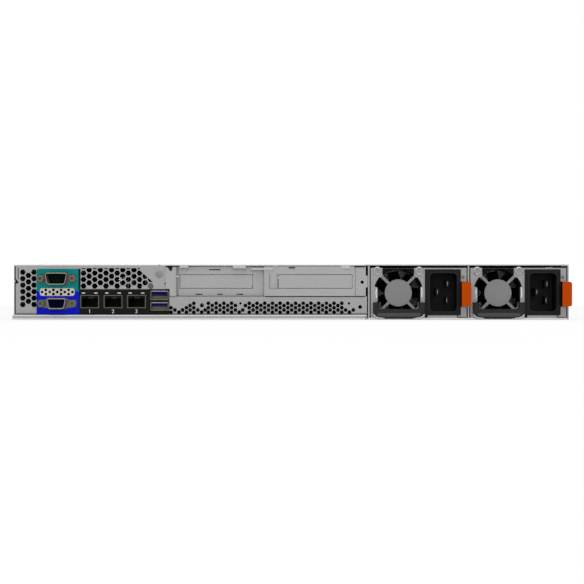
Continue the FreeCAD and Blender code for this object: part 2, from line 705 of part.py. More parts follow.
def network_jacks():
    """Three shielded network jacks, each with its stepped plug opening."""
    jacks = []
    for i in range(3):
        name = "network_jack_%d" % (i + 1)
        x = JACK_X + JACK_PITCH * i
        shell = block(name, x - JACK_WIDTH / 2, REAR, JACK_Z - JACK_HEIGHT / 2,
                      JACK_WIDTH, JACK_DEPTH, JACK_HEIGHT)
        base = JACK_Z - JACK_HEIGHT / 2 + 0.8
        mouth_w, mouth_h = JACK_MOUTH
        depth = JACK_DEPTH - 6
        mouth = block(name + "_mouth", x - mouth_w / 2, REAR - 1, base, mouth_w, depth, mouth_h)
        latch = block(name + "_latch", x - 3, REAR - 1, base + mouth_h - 0.1, 6, depth - 4, 1.8)
        rim = 0.7
        recess = block(name + "_recess", x - JACK_WIDTH / 2 + rim, REAR - 1, JACK_Z - JACK_HEIGHT / 2 + rim,
                       JACK_WIDTH - rim * 2, 1.7, JACK_HEIGHT - rim * 2)
        jacks.append(cut_from(name, shell, [mouth, latch, recess]))
    return group("network_jacks", jacks)


USB_PORT_PITCH = size("usb_port_pitch", 8.4, "spacing of the two USB sockets")


def usb_ports():
    """The stacked pair of USB sockets with a tongue in each."""
    piece = Piece("usb_ports", x=USB_X, y=REAR, z=USB_Z)
    shell = piece.outline("XZ", -0.6)
    shell.centred(0, 0, USB_WIDTH, USB_HEIGHT)
    piece.pad(shell, 17)
    for side in (-1, 1):
        mouth = piece.outline("XZ", -0.6)
        mouth.centred(0, USB_PORT_PITCH / 2 * side, USB_WIDTH - 1, 6.2)
        piece.cut(mouth, 12)
        tongue = piece.outline("XZ", 0.4)
        tongue.centred(0, USB_PORT_PITCH / 2 * side + 1.2, USB_WIDTH - 2.6, 2.2)
        piece.pad(tongue, 11.5)
    return piece


# ---------------------------------------------------------------- riser bracket and blanks

PLATE_FACE = size("riser_plate_out", 1.0, "how far the right slot plate stands out")
SLOT_STEP = size("riser_step_x", 21.3, "middle of the chassis to the step between the slot plates")
RIGHT_PLATE = size("right_plate_edge", 49.6, "middle of the chassis to the right slot plate's edge")
WINDOW_BASE = size("slot_base", 24.2, "height of the slot windows' lower edge")
WINDOW_TOP = size("slot_top", 35.3, "height of the slot windows' upper edge")
LEFT_WINDOW = (size("left_slot_start", 87.6, "left slot window's outer edge, left of the middle") * -1,
               size("left_slot_end", 30.2, "left slot window's inner edge, left of the middle") * -1)
RIGHT_WINDOW = (size("right_slot_start", 10.4, "right slot window's inner edge, left of the middle") * -1,
                size("right_slot_end", 47.8, "right slot window's outer edge, right of the middle"))
CARD_X = size("riser_card_x", 18.0, "middle of the chassis to the riser card's face") * -1
CARD_LENGTH = size("riser_card_length", 150, "length of the riser card")


def riser_bracket():
    """The bent slot plate of the riser cage: a recessed left slot and a proud right slot."""
    piece = Piece("riser_bracket", y=REAR, z=RISER_BASE + 0.4)
    t = SHEET_T
    out, deep = -PLATE_FACE, RISER_RECESS - SHEET_T
    profile = piece.outline("XY")
    profile.loop([(-RISER_LEFT, out), (-RISER_LEFT + 8, out), (-RISER_LEFT + 9.9, deep),
                  (-SLOT_STEP - 0.5, deep), (-SLOT_STEP, out), (RIGHT_PLATE, out), (RIGHT_PLATE + 0.8, 0),
                  (RISER_RIGHT, 0), (RISER_RIGHT, t), (RIGHT_PLATE + 0.4, t), (RIGHT_PLATE - 0.4, out + t),
                  (-SLOT_STEP + 1, out + t), (-SLOT_STEP + 0.5, deep + t), (-RISER_LEFT + 8.9, deep + t),
                  (-RISER_LEFT + 7, out + t), (-RISER_LEFT, out + t)])
    rise = WALL_TOP - RISER_BASE - 0.8
    piece.pad(profile, rise)
    windows = piece.outline("XZ", -2)
    base, top = WINDOW_BASE - RISER_BASE - 0.4, WINDOW_TOP - RISER_BASE - 0.4
    for start, end in (LEFT_WINDOW, RIGHT_WINDOW):
        windows.box(start, base, end, top)
    piece.cut(windows, 8)
    slots = piece.outline("XZ", -2)
    for x, length in ((-72.4, 5.2), (-56, 4), (-40.2, 5.2), (-60, 9)):
        slots.centred(x, 1.3 if length < 9 else rise - 2.6, length, 0.8)
    slots.centred(0.3, rise - 1.0, 4.6, 0.7)
    slots.circle(55.4, 10.8, 1.3)
    slots.box(-RISER_LEFT - 1, -1, -IO_RIGHT + GAP, IO_TOP - RISER_BASE - 0.4 + GAP)
    slots.loop([(-98.8, rise + 1), (-92.4, rise + 1), (-93.8, rise - 4), (-95.4, rise - 3)])
    piece.cut(slots, 8)
    tabs = piece.outline("XZ", out - 0.5)
    tabs.box(-19.8, rise - 3.4, -13.8, rise - 1.9)
    tabs.box(41.2, rise - 2.2, 46.4, rise - 0.4)
    piece.pad(tabs, 0.5)
    clips = piece.outline("XZ", deep - 0.5)
    clips.box(-46.3, rise - 2.2, -35.6, rise - 0.2)
    clips.box(-31.8, rise - 3.6, -24.4, rise - 2.0)
    clips.box(-84, rise - 2.4, -76, rise - 0.6)
    piece.pad(clips, 0.5)
    tongue = piece.outline("XZ")
    tongue.box(RISER_RIGHT - 0.5, 6.8, DIVIDER_1 - GAP, 16)
    piece.pad(tongue, t)
    arm = piece.outline("XZ", out + t - 0.2)
    arm.box(CARD_X - t, 2, CARD_X, rise)
    piece.pad(arm, CARD_LENGTH)
    return piece


def slot_blanks():
    """The two blank covers in the slot windows, each with its bent fixing tab."""
    blanks = []
    deep = REAR + RISER_RECESS - SHEET_T
    faces = (("left", LEFT_WINDOW, deep), ("right", RIGHT_WINDOW, REAR - PLATE_FACE))
    for side, (start, end), face in faces:
        name = "slot_blank_" + side
        length = end - start - BLANK_GROOVE * 2
        base = WINDOW_BASE + BLANK_GROOVE
        height = WINDOW_TOP - WINDOW_BASE - BLANK_GROOVE * 2
        cover = block(name, start + BLANK_GROOVE, face, base, length, SHEET_T, height)
        tab = block(name + "_tab", end - 12, face + SHEET_T, base + 2, 13.4, 1.0, height - 4)
        whole = DOC.addObject("Part::Fuse", name + "_whole")
        whole.Base = cover
        whole.Tool = tab
        blanks.append(whole)
    return group("slot_blanks", blanks)


def riser_card():
    """The riser board that stands on the main board, with its card socket on one face."""
    piece = Piece("riser_card", x=CARD_X, y=REAR + RISER_RECESS + 16, z=BOARD_TOP)
    board = piece.outline("YZ")
    board.loop([(0, 12), (20, 12), (20, 0), (110, 0), (110, 12), (CARD_LENGTH - 24, 12),
                (CARD_LENGTH - 24, 30), (0, 30)])
    piece.pad(board, BOARD_T)
    other = piece.outline("YZ", BOARD_T)
    other.box(26, 16.5, 108, 24)
    piece.pad(other, 7)
    seat = piece.outline("YZ", -3)
    seat.box(22, 0, 108, 8)
    piece.pad(seat, BOARD_T + 6)
    return piece


# ---------------------------------------------------------------- fans

def rotor(name, x, y, z):
    """A fan rotor: cup hub on a shaft, with pitched and cambered blades round it."""
    piece = Piece(name, x=x, y=y, z=z)
    hub = piece.outline("XZ", 0)
    hub.circle(0, 0, FAN_HUB - 0.3)
    piece.pad(hub, ROTOR_LENGTH)
    cup = piece.outline("XZ", 0)
    cup.circle(0, 0, BEARING + 0.8)
    cup.circle(0, 0, FAN_SHAFT)
    piece.cut(cup, BEARING_LENGTH + 1)
    blade = DOC.addObject("PartDesign::AdditiveLoft", name + "_blade")
    sections = [blade_section(piece, FAN_HUB - 1.6, 42, 11.6), blade_section(piece, FAN_TIP - 0.7, 42, 10.4)]
    piece.body.addObject(blade)
    blade.Profile = sections[0].finish()
    blade.Sections = [sections[1].finish()]
    blade.Ruled = True
    piece.body.Tip = blade
    piece.ring(blade, "Y", FAN_BLADES)
    return piece


def blade_section(piece, radius, pitch, chord):
    """Draw one cambered blade section, square to the blade's own radius."""
    section = piece.outline("YZ", radius)
    turn = math.radians(pitch)
    middle = ROTOR_LENGTH / 2
    camber, thick = chord * 0.10, 0.9
    shape = []
    for along, across in ((-0.5, 0.0), (0.0, camber), (0.5, 0.0), (0.0, camber - thick)):
        run = along * chord
        shape.append((middle + run * math.sin(turn) + across * math.cos(turn),
                      run * math.cos(turn) - across * math.sin(turn)))
    points = [FreeCAD.Vector(number_of(y), number_of(z), 0) for y, z in shape]
    for through in (points[1], points[3]):
        arc = section.add(Part.Arc(points[0], through, points[2]))
        drawn = Part.Arc(points[0], through, points[2]).toShape().Edges[0].Curve
        first, last = (1, 2) if drawn.Axis.z > 0 else (2, 1)
        section.fix_point(arc, first, *shape[0])
        section.fix_point(arc, last, *shape[2])
    return section


def fan_frame(name, x, y, z, node):
    """A square fan frame with its round bore; a frame of its own node has screw holes."""
    piece = Piece(name, x=x, y=y, z=z, node=node)
    frame = piece.outline("XZ")
    frame.centred(0, 0, FAN_SQUARE, FAN_SQUARE)
    frame.circle(0, 0, FAN_BORE)
    if node:
        screw_holes(frame, 0, 0)
    piece.pad(frame, FAN_DEPTH)
    return piece


def screw_holes(outline, x, z):
    """Add the two screw holes over a power supply's fan to an outline."""
    for side in (-1, 1):
        outline.circle(x + SCREW_REACH * side, z + SCREW_RISE, FAN_SCREW + 0.05)


FAN_SCREW = size("fan_screw_radius", 1.2, "radius of a fan screw's shank")
SCREW_REACH = size("fan_screw_reach", 16.3, "middle of a fan to its screws, across")
SCREW_RISE = size("fan_screw_rise", 17.2, "middle of a fan to its screws, upwards")
SCREW_HEAD = size("fan_screw_head_radius", 3.3, "radius of a fan screw's head")


def guard_struts(piece, thickness, hub):
    """Add the hub disc, the four diagonal struts and the bearing boss to a frame or guard."""
    reach = FAN_BORE + 0.8
    for angle in (45, 135):
        turn = math.radians(angle)
        along = (math.cos(turn), math.sin(turn))
        across = (-along[1] / 2, along[0] / 2)
        strut = piece.outline("XZ")
        corners = ((-1, -1), (1, -1), (1, 1), (-1, 1))
        strut.loop([(reach * (along[0] * a) + SPOKE * (across[0] * b),
                     reach * (along[1] * a) + SPOKE * (across[1] * b)) for a, b in corners])
        piece.pad(strut, thickness)
    disc = piece.outline("XZ")
    disc.circle(0, 0, hub)
    piece.pad(disc, thickness)
    boss = piece.outline("XZ", thickness)
    boss.circle(0, 0, BEARING)
    piece.pad(boss, BEARING_LENGTH)
    bore = piece.outline("XZ", thickness)
    bore.circle(0, 0, FAN_SHAFT + SHAFT_FIT)
    piece.cut(bore, BEARING_LENGTH + 1)


def chassis_fans():
    """The row of fans: six frames in one node and six rotors that turn in them."""
    middle = SHEET_T + FAN_SQUARE / 2
    y = REAR + FAN_BANK
    first = FAN_PITCH * (CHASSIS_FANS - 1) / -2
    master = fan_frame("fan_frame_master", first, y, middle, False)
    guard_struts(master, GUARD_T * 1.5, FAN_HUB)
    frames = [master.body]
    for i in range(1, CHASSIS_FANS):
        frames.append(copy_of(master, "fan_frame_%d" % (i + 1), first + FAN_PITCH * i, y, middle))
    group("fan_frames", frames)
    for i in range(CHASSIS_FANS):
        rotor("fan_rotor_%d" % (i + 1), first + FAN_PITCH * i, y + GUARD_T * 1.5 + 0.6, middle)


# ---------------------------------------------------------------- power supplies

PSU_FAN = (size("psu_fan_x", 21.6, "power supply's left side to its fan"), PSU_HEIGHT / 2)
INLET = (size("inlet_x", 56.4, "power supply's left side to its inlet"), PSU_HEIGHT / 2 + 0.5)
INLET_WIDTH = size("inlet_width", 28, "width of the inlet's frame")
INLET_HEIGHT = size("inlet_height", 35.9, "height of the inlet's frame")
INLET_DEPTH = size("inlet_depth", 26, "depth of the inlet")
CAVITY = (size("inlet_cavity_width", 21.1, "width of the inlet's plug opening"),
          size("inlet_cavity_height", 29.9, "height of the inlet's plug opening"))
TAB_X = size("release_arm_x", 72.4, "power supply's left side to its release arm")
TAB_T = size("release_arm_gauge", 1.2, "thickness of the release arm")
TAB_BASE = size("release_tab_base", 9.1, "power supply's underside to its release tab")
TAB_HEIGHT = size("release_tab_height", 19.1, "height of the release tab")
TAB_REACH = size("release_arm_length", 46, "rear face to the release arm's pivot")
TAB_PIN = size("release_pin_radius", 1.4, "radius of the release arm's pivot pin")
PIN_HEIGHT = TAB_HEIGHT + 5
HANDLE_PIVOT = (size("handle_pivot_out", 2.4, "rear face to the handle's pivot"),
                size("handle_pivot_height", 10.8, "underside to the handle's pivot"))
BROW_HALF = size("fan_brow_half_width", 12.4, "half width of the opening above the fan")
HANDLE_LEFT = size("handle_left", 1.8, "power supply's left side to its handle")
HANDLE_WIDTH = size("handle_width", 40.3, "width of the handle")
HANDLE_LEG = size("handle_leg", 4.3, "width of a handle's leg")
HANDLE_T = size("handle_thickness", 3.2, "thickness of the handle")
HANDLE_BAR = size("handle_bar_height", 6.4, "height of the handle's bar")
HANDLE_PIN = size("handle_pin_radius", 0.9, "radius of a handle's trunnion")
LUG_T = size("handle_lug_gauge", 1.6, "thickness of a lug that holds the handle")


def psu_case(n, x):
    """The power supply's folded case, open for the fan, the inlet and the release arm."""
    piece = Piece("psu_case_%d" % n, x=x, y=REAR, z=PSU_Z)
    box = piece.outline("XZ")
    box.box(0, 0, PSU_WIDTH, PSU_HEIGHT)
    piece.pad(box, PSU_LENGTH)
    fan_x, fan_z = PSU_FAN
    skin = PSU_SKIN
    bay = piece.outline("XZ", skin)
    bay.centred(fan_x, fan_z, FAN_SQUARE, FAN_SQUARE)
    piece.cut(bay, FAN_DEPTH + GUARD_T)
    mouth = piece.outline("XZ", -1)
    mouth.circle(fan_x, fan_z, FAN_BORE)
    screw_holes(mouth, fan_x, fan_z)
    piece.cut(mouth, skin + 2)
    brow = piece.outline("XZ", -1)
    brow.box(fan_x - BROW_HALF, fan_z + 10, fan_x + BROW_HALF, PSU_HEIGHT + 1)
    piece.cut(brow, skin + 1)
    cheeks = piece.outline("XZ")
    for side in (-1, 1):
        outer, inner = (FAN_BORE + 0.4) * side, 16.2 * side
        cheeks.loop([(fan_x + outer, fan_z + 5.4), (fan_x + inner, fan_z + 4), (fan_x + inner, fan_z - 6.5),
                     (fan_x + outer, fan_z - 8)])
    piece.pad(cheeks, skin)
    inlet = piece.outline("XZ", -1)
    inlet.centred(INLET[0], INLET[1], INLET_WIDTH, INLET_HEIGHT)
    piece.cut(inlet, INLET_DEPTH + 1)
    slot = piece.outline("XZ", -1)
    slot.box(TAB_X - 1.9, TAB_BASE - GAP, PSU_WIDTH - skin, TAB_BASE + TAB_HEIGHT + GAP)
    piece.cut(slot, TAB_REACH + TAB_PIN + 2)
    bearing = piece.outline("XY", TAB_BASE + TAB_HEIGHT / 2 - PIN_HEIGHT / 2 - 0.2)
    bearing.circle(TAB_X + TAB_T / 2, TAB_REACH, TAB_PIN + SHAFT_FIT)
    piece.cut(bearing, PIN_HEIGHT + 0.4)
    handle_lugs(piece)
    edge_card = piece.outline("XZ", PSU_LENGTH)
    edge_card.box(14, 6, PSU_WIDTH - 18, 6 + BOARD_T)
    piece.pad(edge_card, 8)
    side_vents = piece.outline("XZ", PSU_LENGTH - 1.2)
    side_vents.hexagon(10, 16, 5)
    piece.row(piece.cut(side_vents, 2), ("X", 6.9, 9), ("Z", 7, 3))
    return piece


def handle_lugs(piece):
    """Add the two lugs that hold the handle, each with its trunnion hole."""
    out, height = HANDLE_PIVOT
    inner = HANDLE_LEFT + HANDLE_LEG + 0.2
    for start in (inner, HANDLE_LEFT * 2 + HANDLE_WIDTH - inner - LUG_T):
        lug = piece.outline("YZ", start)
        lug.box(-out - 1.6, height - 1.6, 0, height + 1.6)
        piece.pad(lug, LUG_T)
    hole = piece.outline("YZ", inner - 0.1)
    hole.circle(-out, height, HANDLE_PIN + SHAFT_FIT)
    piece.cut(hole, HANDLE_WIDTH - HANDLE_LEG * 2 - 0.2)


def psu_handle(n, x):
    """The bail handle: a bar on two legs, with trunnions that turn in the case's lugs."""
    out, height = HANDLE_PIVOT
    piece = Piece("psu_handle_%d" % n, x=x + HANDLE_LEFT, y=REAR - out, z=PSU_Z + height)
    low = -height + 0.1
    legs = piece.outline("XZ", -HANDLE_T / 2)
    legs.loop([(0, 1.4), (0, low + 1.5), (1.5, low), (HANDLE_WIDTH - 1.5, low), (HANDLE_WIDTH, low + 1.5),
               (HANDLE_WIDTH, 1.4), (HANDLE_WIDTH - HANDLE_LEG, 1.4),
               (HANDLE_WIDTH - HANDLE_LEG, low + HANDLE_BAR + 1.5),
               (HANDLE_WIDTH - HANDLE_LEG - 1.5, low + HANDLE_BAR), (HANDLE_LEG + 1.5, low + HANDLE_BAR),
               (HANDLE_LEG, low + HANDLE_BAR + 1.5), (HANDLE_LEG, 1.4)])
    piece.pad(legs, HANDLE_T)
    piece.round_edges(1.2, "X", lambda p: p.z > 1)
    pins = piece.outline("YZ", HANDLE_LEG - 0.5)
    pins.circle(0, 0, HANDLE_PIN)
    piece.pad(pins, LUG_T + 0.7)
    pins = piece.outline("YZ", HANDLE_WIDTH - HANDLE_LEG - LUG_T - 0.2)
    pins.circle(0, 0, HANDLE_PIN)
    piece.pad(pins, LUG_T + 0.7)
    groove = piece.outline("XZ", -HANDLE_T / 2 - 1)
    groove.box(8, low + 2.2, HANDLE_WIDTH - 8, low + 2.8)
    piece.cut(groove, 1.4)
    return piece


def psu_fan(n, x):
    """The power supply's fan: guard, frame, rotor and the two screws that hold them."""
    fan_x, fan_z = x + PSU_FAN[0], PSU_Z + PSU_FAN[1]
    y = REAR + PSU_SKIN
    guard = Piece("psu_fan_guard_%d" % n, x=fan_x, y=y, z=fan_z)
    plate = guard.outline("XZ")
    plate.centred(0, 0, FAN_SQUARE, FAN_SQUARE)
    plate.circle(0, 0, FAN_BORE)
    screw_holes(plate, 0, 0)
    guard.pad(plate, GUARD_T)
    brow = guard.outline("XZ", -1)
    brow.box(-BROW_HALF, 10, BROW_HALF, FAN_SQUARE)
    guard.cut(brow, GUARD_T + 2)
    guard_struts(guard, GUARD_T, FAN_HUB)
    fan_frame("psu_fan_frame_%d" % n, fan_x, y + GUARD_T, fan_z, True)
    rotor("psu_fan_rotor_%d" % n, fan_x, y + GUARD_T + 0.6, fan_z)
    screws = []
    for side in (-1, 1):
        name = "psu_screw_%d_%s" % (n, "left" if side < 0 else "right")
        at_x = fan_x + SCREW_REACH * side
        at_z = fan_z + SCREW_RISE
        head = rod(name, at_x, REAR - 1.4, at_z, SCREW_HEAD, 1.4, "Y")
        shank = rod(name + "_shank", at_x, REAR - 0.2, at_z, FAN_SCREW, 9, "Y")
        whole = DOC.addObject("Part::Fuse", name + "_whole")
        whole.Base = head
        whole.Tool = shank
        socket = DOC.addObject("Part::Prism", name + "_socket")
        socket.Polygon = 6
        socket.Circumradius = 1.5
        socket.Height = 2
        socket.Placement.Rotation = FreeCAD.Rotation(AXES["Z"], AXES["Y"])
        place(socket, at_x, REAR - 2.4, at_z)
        screws.append(cut_from(name, whole, [socket]))
    group("psu_screws_%d" % n, screws)


BLADE_T = size("blade_gauge", 2, "thickness of an inlet blade")
BLADE_W = size("blade_width", 6.4, "width of an inlet blade")


def power_inlet(n, x):
    """The moulded inlet with its plug opening, and its three blades as separate solids."""
    centre_x, centre_z = x + INLET[0], PSU_Z + INLET[1]
    piece = Piece("power_inlet_%d" % n, x=centre_x, y=REAR, z=centre_z)
    frame = piece.outline("XZ", -0.8)
    frame.centred(0, 0, INLET_WIDTH, INLET_HEIGHT)
    piece.pad(frame, INLET_DEPTH + 0.8)
    hollow = piece.outline("XZ", -1)
    hollow.rounded(-CAVITY[0] / 2 + 0.4, -CAVITY[1] / 2, CAVITY[0] / 2 + 0.4, CAVITY[1] / 2, 3)
    piece.cut(hollow, INLET_DEPTH - 3)
    blades = []
    for i, (dx, dz) in enumerate(((-4.2, 0), (3.8, 6.5), (3.8, -6.5))):
        blades.append(block("inlet_blade_%d_%d" % (n, i + 1), centre_x + dx - BLADE_T / 2, REAR + 4,
                            centre_z + dz - BLADE_W / 2, BLADE_T, INLET_DEPTH - 8, BLADE_W))
    group("inlet_blades_%d" % n, blades)
    return piece


PAD_OUT = size("release_pad_out", 13, "how far the release pad stands out")


def release_tab(n, x):
    """The coloured release tab: a thumb pad on an arm that turns on a pin in the case."""
    piece = Piece("psu_release_tab_%d" % n, x=x + TAB_X, y=REAR + TAB_REACH, z=PSU_Z + TAB_BASE)
    arm = piece.outline("XY")
    edge = -TAB_REACH - PAD_OUT
    arm.loop([(0, 0), (0, -TAB_REACH - 3), (-2.4, edge), (5.0, edge), (5.0, edge + 2.2), (TAB_T, edge + 6),
              (TAB_T, 0)])
    piece.pad(arm, TAB_HEIGHT)
    piece.round_edges(1.8, "Y", lambda p: p.y < -TAB_REACH.number)
    pin = piece.outline("XY", TAB_HEIGHT / 2 - PIN_HEIGHT / 2)
    pin.circle(TAB_T / 2, 0, TAB_PIN)
    piece.pad(pin, PIN_HEIGHT)
    return piece


def power_supply(n):
    """One slide-out power supply, all its pieces placed from its left side."""
    x = PSU_X[n - 1]
    psu_case(n, x)
    psu_fan(n, x)
    psu_handle(n, x)
    power_inlet(n, x)
    release_tab(n, x)


def psu_cage():
    """The two upright dividers of the power bays, joined by the wall behind the bays."""
    piece = Piece("psu_cage", y=REAR, z=SHEET_T)
    depth = PSU_BAY_DEPTH
    plan = piece.outline("XY")
    one, two, t = DIVIDER_1, DIVIDER_2, CAGE_T
    plan.loop([(one, 0), (one + t, 0), (one + t, depth), (two, depth), (two, 0), (two + t, 0),
               (two + t, depth), (INNER, depth), (INNER, depth + t), (one, depth + t)])
    piece.pad(plan, WALL_TOP - SHEET_T - 0.2)
    gates = piece.outline("XZ", depth - 1)
    for x in PSU_X:
        gates.box(x + 10, 4, x + PSU_WIDTH - 14, 14)
        gates.box(x + 4, 19, x + PSU_WIDTH - 4, 35)
    piece.cut(gates, t + 2)
    return piece


# ---------------------------------------------------------------- boards and what they carry

BOARD_END = size("board_end", 340, "rear panel to the board's far edge")


def motherboard():
    """The main board: an L round the power bays, with its memory and riser sockets."""
    near = SHEET_T + 3
    right = DIVIDER_1 - 2
    wide = INNER - 4
    turn = PSU_BAY_DEPTH + CAGE_T + 2
    piece = Piece("motherboard", y=REAR, z=SHEET_T + STANDOFF)
    plan = piece.outline("XY")
    plan.loop([(-wide, near + 18), (-97, near + 18), (-97, near + 14), (right, near + 14), (right, turn),
               (wide, turn), (wide, BOARD_END), (-wide, BOARD_END)])
    for x, y in STANDOFF_PLACES:
        plan.circle(x, y, 1.6)
    piece.pad(plan, BOARD_T)
    for first in MEMORY_ROWS:
        socket = piece.outline("XY", BOARD_T)
        socket.box(first - 3, MEMORY_Y - 3, first + 3, MEMORY_Y + MODULE_LENGTH + 3)
        piece.row(piece.pad(socket, 6), ("X", MEMORY_PITCH, MEMORY_COUNT))
    mates = piece.outline("XY", BOARD_T)
    for x in PSU_X:
        mates.box(x + 12, turn + 0.5, x + PSU_WIDTH - 16, turn + 10)
    piece.pad(mates, 9)
    chip = piece.outline("XY", BOARD_T)
    chip.box(-176, 110, -148, 138)
    piece.pad(chip, 3)
    return piece


STANDOFF_PLACES = ((-200, 40), (-110, 40), (40, 40), (-200, 180), (40, 180), (-200, 330), (0, 330),
                   (200, 330))
MODULE_LENGTH = size("memory_length", 133.4, "length of a memory module")
MODULE_HEIGHT = size("memory_height", 30, "height of a memory module")
MEMORY_PITCH = size("memory_pitch", 9.6, "spacing of the memory modules")
MEMORY_COUNT = size("memory_per_bank", 4, "memory modules in each bank")
MEMORY_Y = size("memory_distance", 190, "rear panel to the memory modules")
MEMORY_ROWS = (-200, -50)


def hexagon_post(name, x, y, z, reach, height):
    """Return an upright hexagonal post."""
    post = DOC.addObject("Part::Prism", name)
    post.Polygon = 6
    post.Circumradius = reach
    post.Height = number_of(height)
    bind(post, "Height", height)
    place(post, x, y, z)
    return post


def board_standoffs():
    """The standoffs between the floor and the main board, one solid each."""
    posts = []
    for i, (x, y) in enumerate(STANDOFF_PLACES):
        posts.append(hexagon_post("standoff_%d" % (i + 1), x, REAR + y, SHEET_T, 3, STANDOFF))
    return group("board_standoffs", posts)


def memory_modules():
    """The memory modules, upright in their sockets, one solid each."""
    modules = []
    base = BOARD_TOP + 6
    for first in MEMORY_ROWS:
        for i in range(int(MEMORY_COUNT.number)):
            name = "memory_%d_%d" % (-first, i + 1)
            x = first + MEMORY_PITCH * i - 0.7
            modules.append(block(name, x, REAR + MEMORY_Y, base, 1.4, MODULE_LENGTH, MODULE_HEIGHT - 6))
    return group("memory_modules", modules)


def cpu_heatsinks():
    """Two finned heatsinks on the processors, on one line of air."""
    places = ((-150, 222), (2, 222))
    master = Piece("heatsink_master", x=places[0][0], y=REAR + places[0][1], z=BOARD_TOP, node=False)
    chip = master.outline("XY")
    chip.box(20, 25, 68, 77)
    master.pad(chip, 4)
    base = master.outline("XY", 4)
    base.box(0, 0, 88, 104)
    master.pad(base, 5)
    fin = master.outline("XZ", 0)
    fin.box(0, 9, 1, 28)
    master.row(master.pad(fin, 104), ("X", 4.142857, 22))
    other = copy_of(master, "heatsink_2", places[1][0], REAR + places[1][1], BOARD_TOP)
    return group("cpu_heatsinks", [master.body, other])


# ---------------------------------------------------------------- front of the chassis

BAY_LEFT = -INNER + 1
BAY_WALL = 1.0
BACKPLANE_Y = FRONT - 176


def drive_cage():
    """The comb of bay walls under one roof, with a slotted strip above the drives."""
    piece = Piece("drive_cage", y=FRONT - 164, z=SHEET_T)
    roof = BAY_HEIGHT
    plan = []
    x = BAY_LEFT
    plan += [(x, 0), (x, roof + BAY_WALL), (x + BAY_PITCH * 3 + BAY_WALL, roof + BAY_WALL),
             (x + BAY_PITCH * 3 + BAY_WALL, 0)]
    for i in (3, 2, 1):
        plan += [(x + BAY_PITCH * i, 0), (x + BAY_PITCH * i, roof)]
        plan += [(x + BAY_PITCH * (i - 1) + BAY_WALL, roof), (x + BAY_PITCH * (i - 1) + BAY_WALL, 0)]
    comb = piece.outline("XZ")
    comb.loop(plan)
    piece.pad(comb, 164)
    strip = piece.outline("XZ", 162)
    strip.box(x, roof + BAY_WALL, x + BAY_PITCH * 3 + BAY_WALL, WALL_TOP - SHEET_T - 0.1)
    piece.pad(strip, 2)
    slot = piece.outline("XZ", 161)
    slot.box(x + 6, roof + 3, x + 10, WALL_TOP - SHEET_T - 2.4)
    piece.row(piece.cut(slot, 4), ("X", 6, 54))
    return piece


def backplane():
    """The upright board behind the drives, with a connector for each."""
    piece = Piece("backplane", y=BACKPLANE_Y, z=SHEET_T)
    board = piece.outline("XZ")
    board.box(BAY_LEFT, 0, BAY_LEFT + BAY_PITCH * 3 + BAY_WALL, BAY_HEIGHT)
    piece.pad(board, BOARD_T)
    plug = piece.outline("XZ", BOARD_T)
    plug.box(BAY_LEFT + 20, 7, BAY_LEFT + 62, 14)
    piece.row(piece.pad(plug, 5.5), ("X", BAY_PITCH, 3))
    return piece


CARRIER_WIDTH = BAY_PITCH - BAY_WALL - GAP * 2
CARRIER_HEIGHT = BAY_HEIGHT - GAP * 2
LEVER_SPAN = size("lever_length", 84, "length of a carrier's lever")
LEVER_HEIGHT = size("lever_height", 13, "height of a carrier's lever")
LEVER_T = size("lever_thickness", 5, "thickness of a carrier's lever")
LEVER_PIN = size("lever_pin_radius", 1.2, "radius of a lever's pin")
LEVER_AT = (8, 7.5)


def drive_carrier(n, x):
    """A carrier: slotted bezel with a lever recess, two side rails and a floor plate."""
    piece = Piece("drive_carrier_%d" % n, x=x, y=FRONT, z=SHEET_T + GAP)
    bezel = piece.outline("XZ")
    bezel.box(0, 0, CARRIER_WIDTH, CARRIER_HEIGHT)
    piece.pad(bezel, BEZEL_DEPTH)
    rail_t = (CARRIER_WIDTH - DRIVE_WIDTH) / 2
    rails = piece.outline("XZ", -DRIVE_LENGTH - 6)
    rails.loop([(0, 0), (CARRIER_WIDTH, 0), (CARRIER_WIDTH, 20), (CARRIER_WIDTH - rail_t, 20),
                (CARRIER_WIDTH - rail_t, 1), (rail_t, 1), (rail_t, 20), (0, 20)])
    piece.pad(rails, DRIVE_LENGTH + 6)
    left, base = LEVER_AT
    recess = piece.outline("XZ", BEZEL_DEPTH - LEVER_T - 1)
    recess.box(left - 4, base - GAP, left + LEVER_SPAN + 4, base + LEVER_HEIGHT + GAP)
    piece.cut(recess, LEVER_T + 3)
    hinge = piece.outline("XY", base - 3)
    hinge.circle(left, BEZEL_DEPTH - LEVER_T / 2 - 0.3, LEVER_PIN + SHAFT_FIT)
    piece.cut(hinge, LEVER_HEIGHT + 6)
    vent = piece.outline("XZ", -1)
    vent.hexagon(8, CARRIER_HEIGHT - 5.2, 4.6)
    piece.row(piece.cut(vent, BEZEL_DEPTH + 2), ("X", 6.4, 16))
    return piece


def carrier_lever(n, x):
    """The lever that opens from the bezel about an upright pin."""
    left, base = LEVER_AT
    y = FRONT + BEZEL_DEPTH - LEVER_T / 2 - 0.3
    piece = Piece("carrier_lever_%d" % n, x=x + left, y=y, z=SHEET_T + GAP + base)
    half = LEVER_T / 2
    arm = piece.outline("XY")
    arm.rounded(-half, -half, LEVER_SPAN, half, half - 0.1)
    piece.pad(arm, LEVER_HEIGHT)
    pin = piece.outline("XY", -2.8)
    pin.circle(0, 0, LEVER_PIN)
    piece.pad(pin, LEVER_HEIGHT + 5.6)
    grip = piece.outline("XZ", half - 1.2)
    grip.box(LEVER_SPAN - 16, 2, LEVER_SPAN - 14.8, LEVER_HEIGHT - 2)
    piece.row(piece.cut(grip, 2), ("X", 2.6, 4))
    return piece


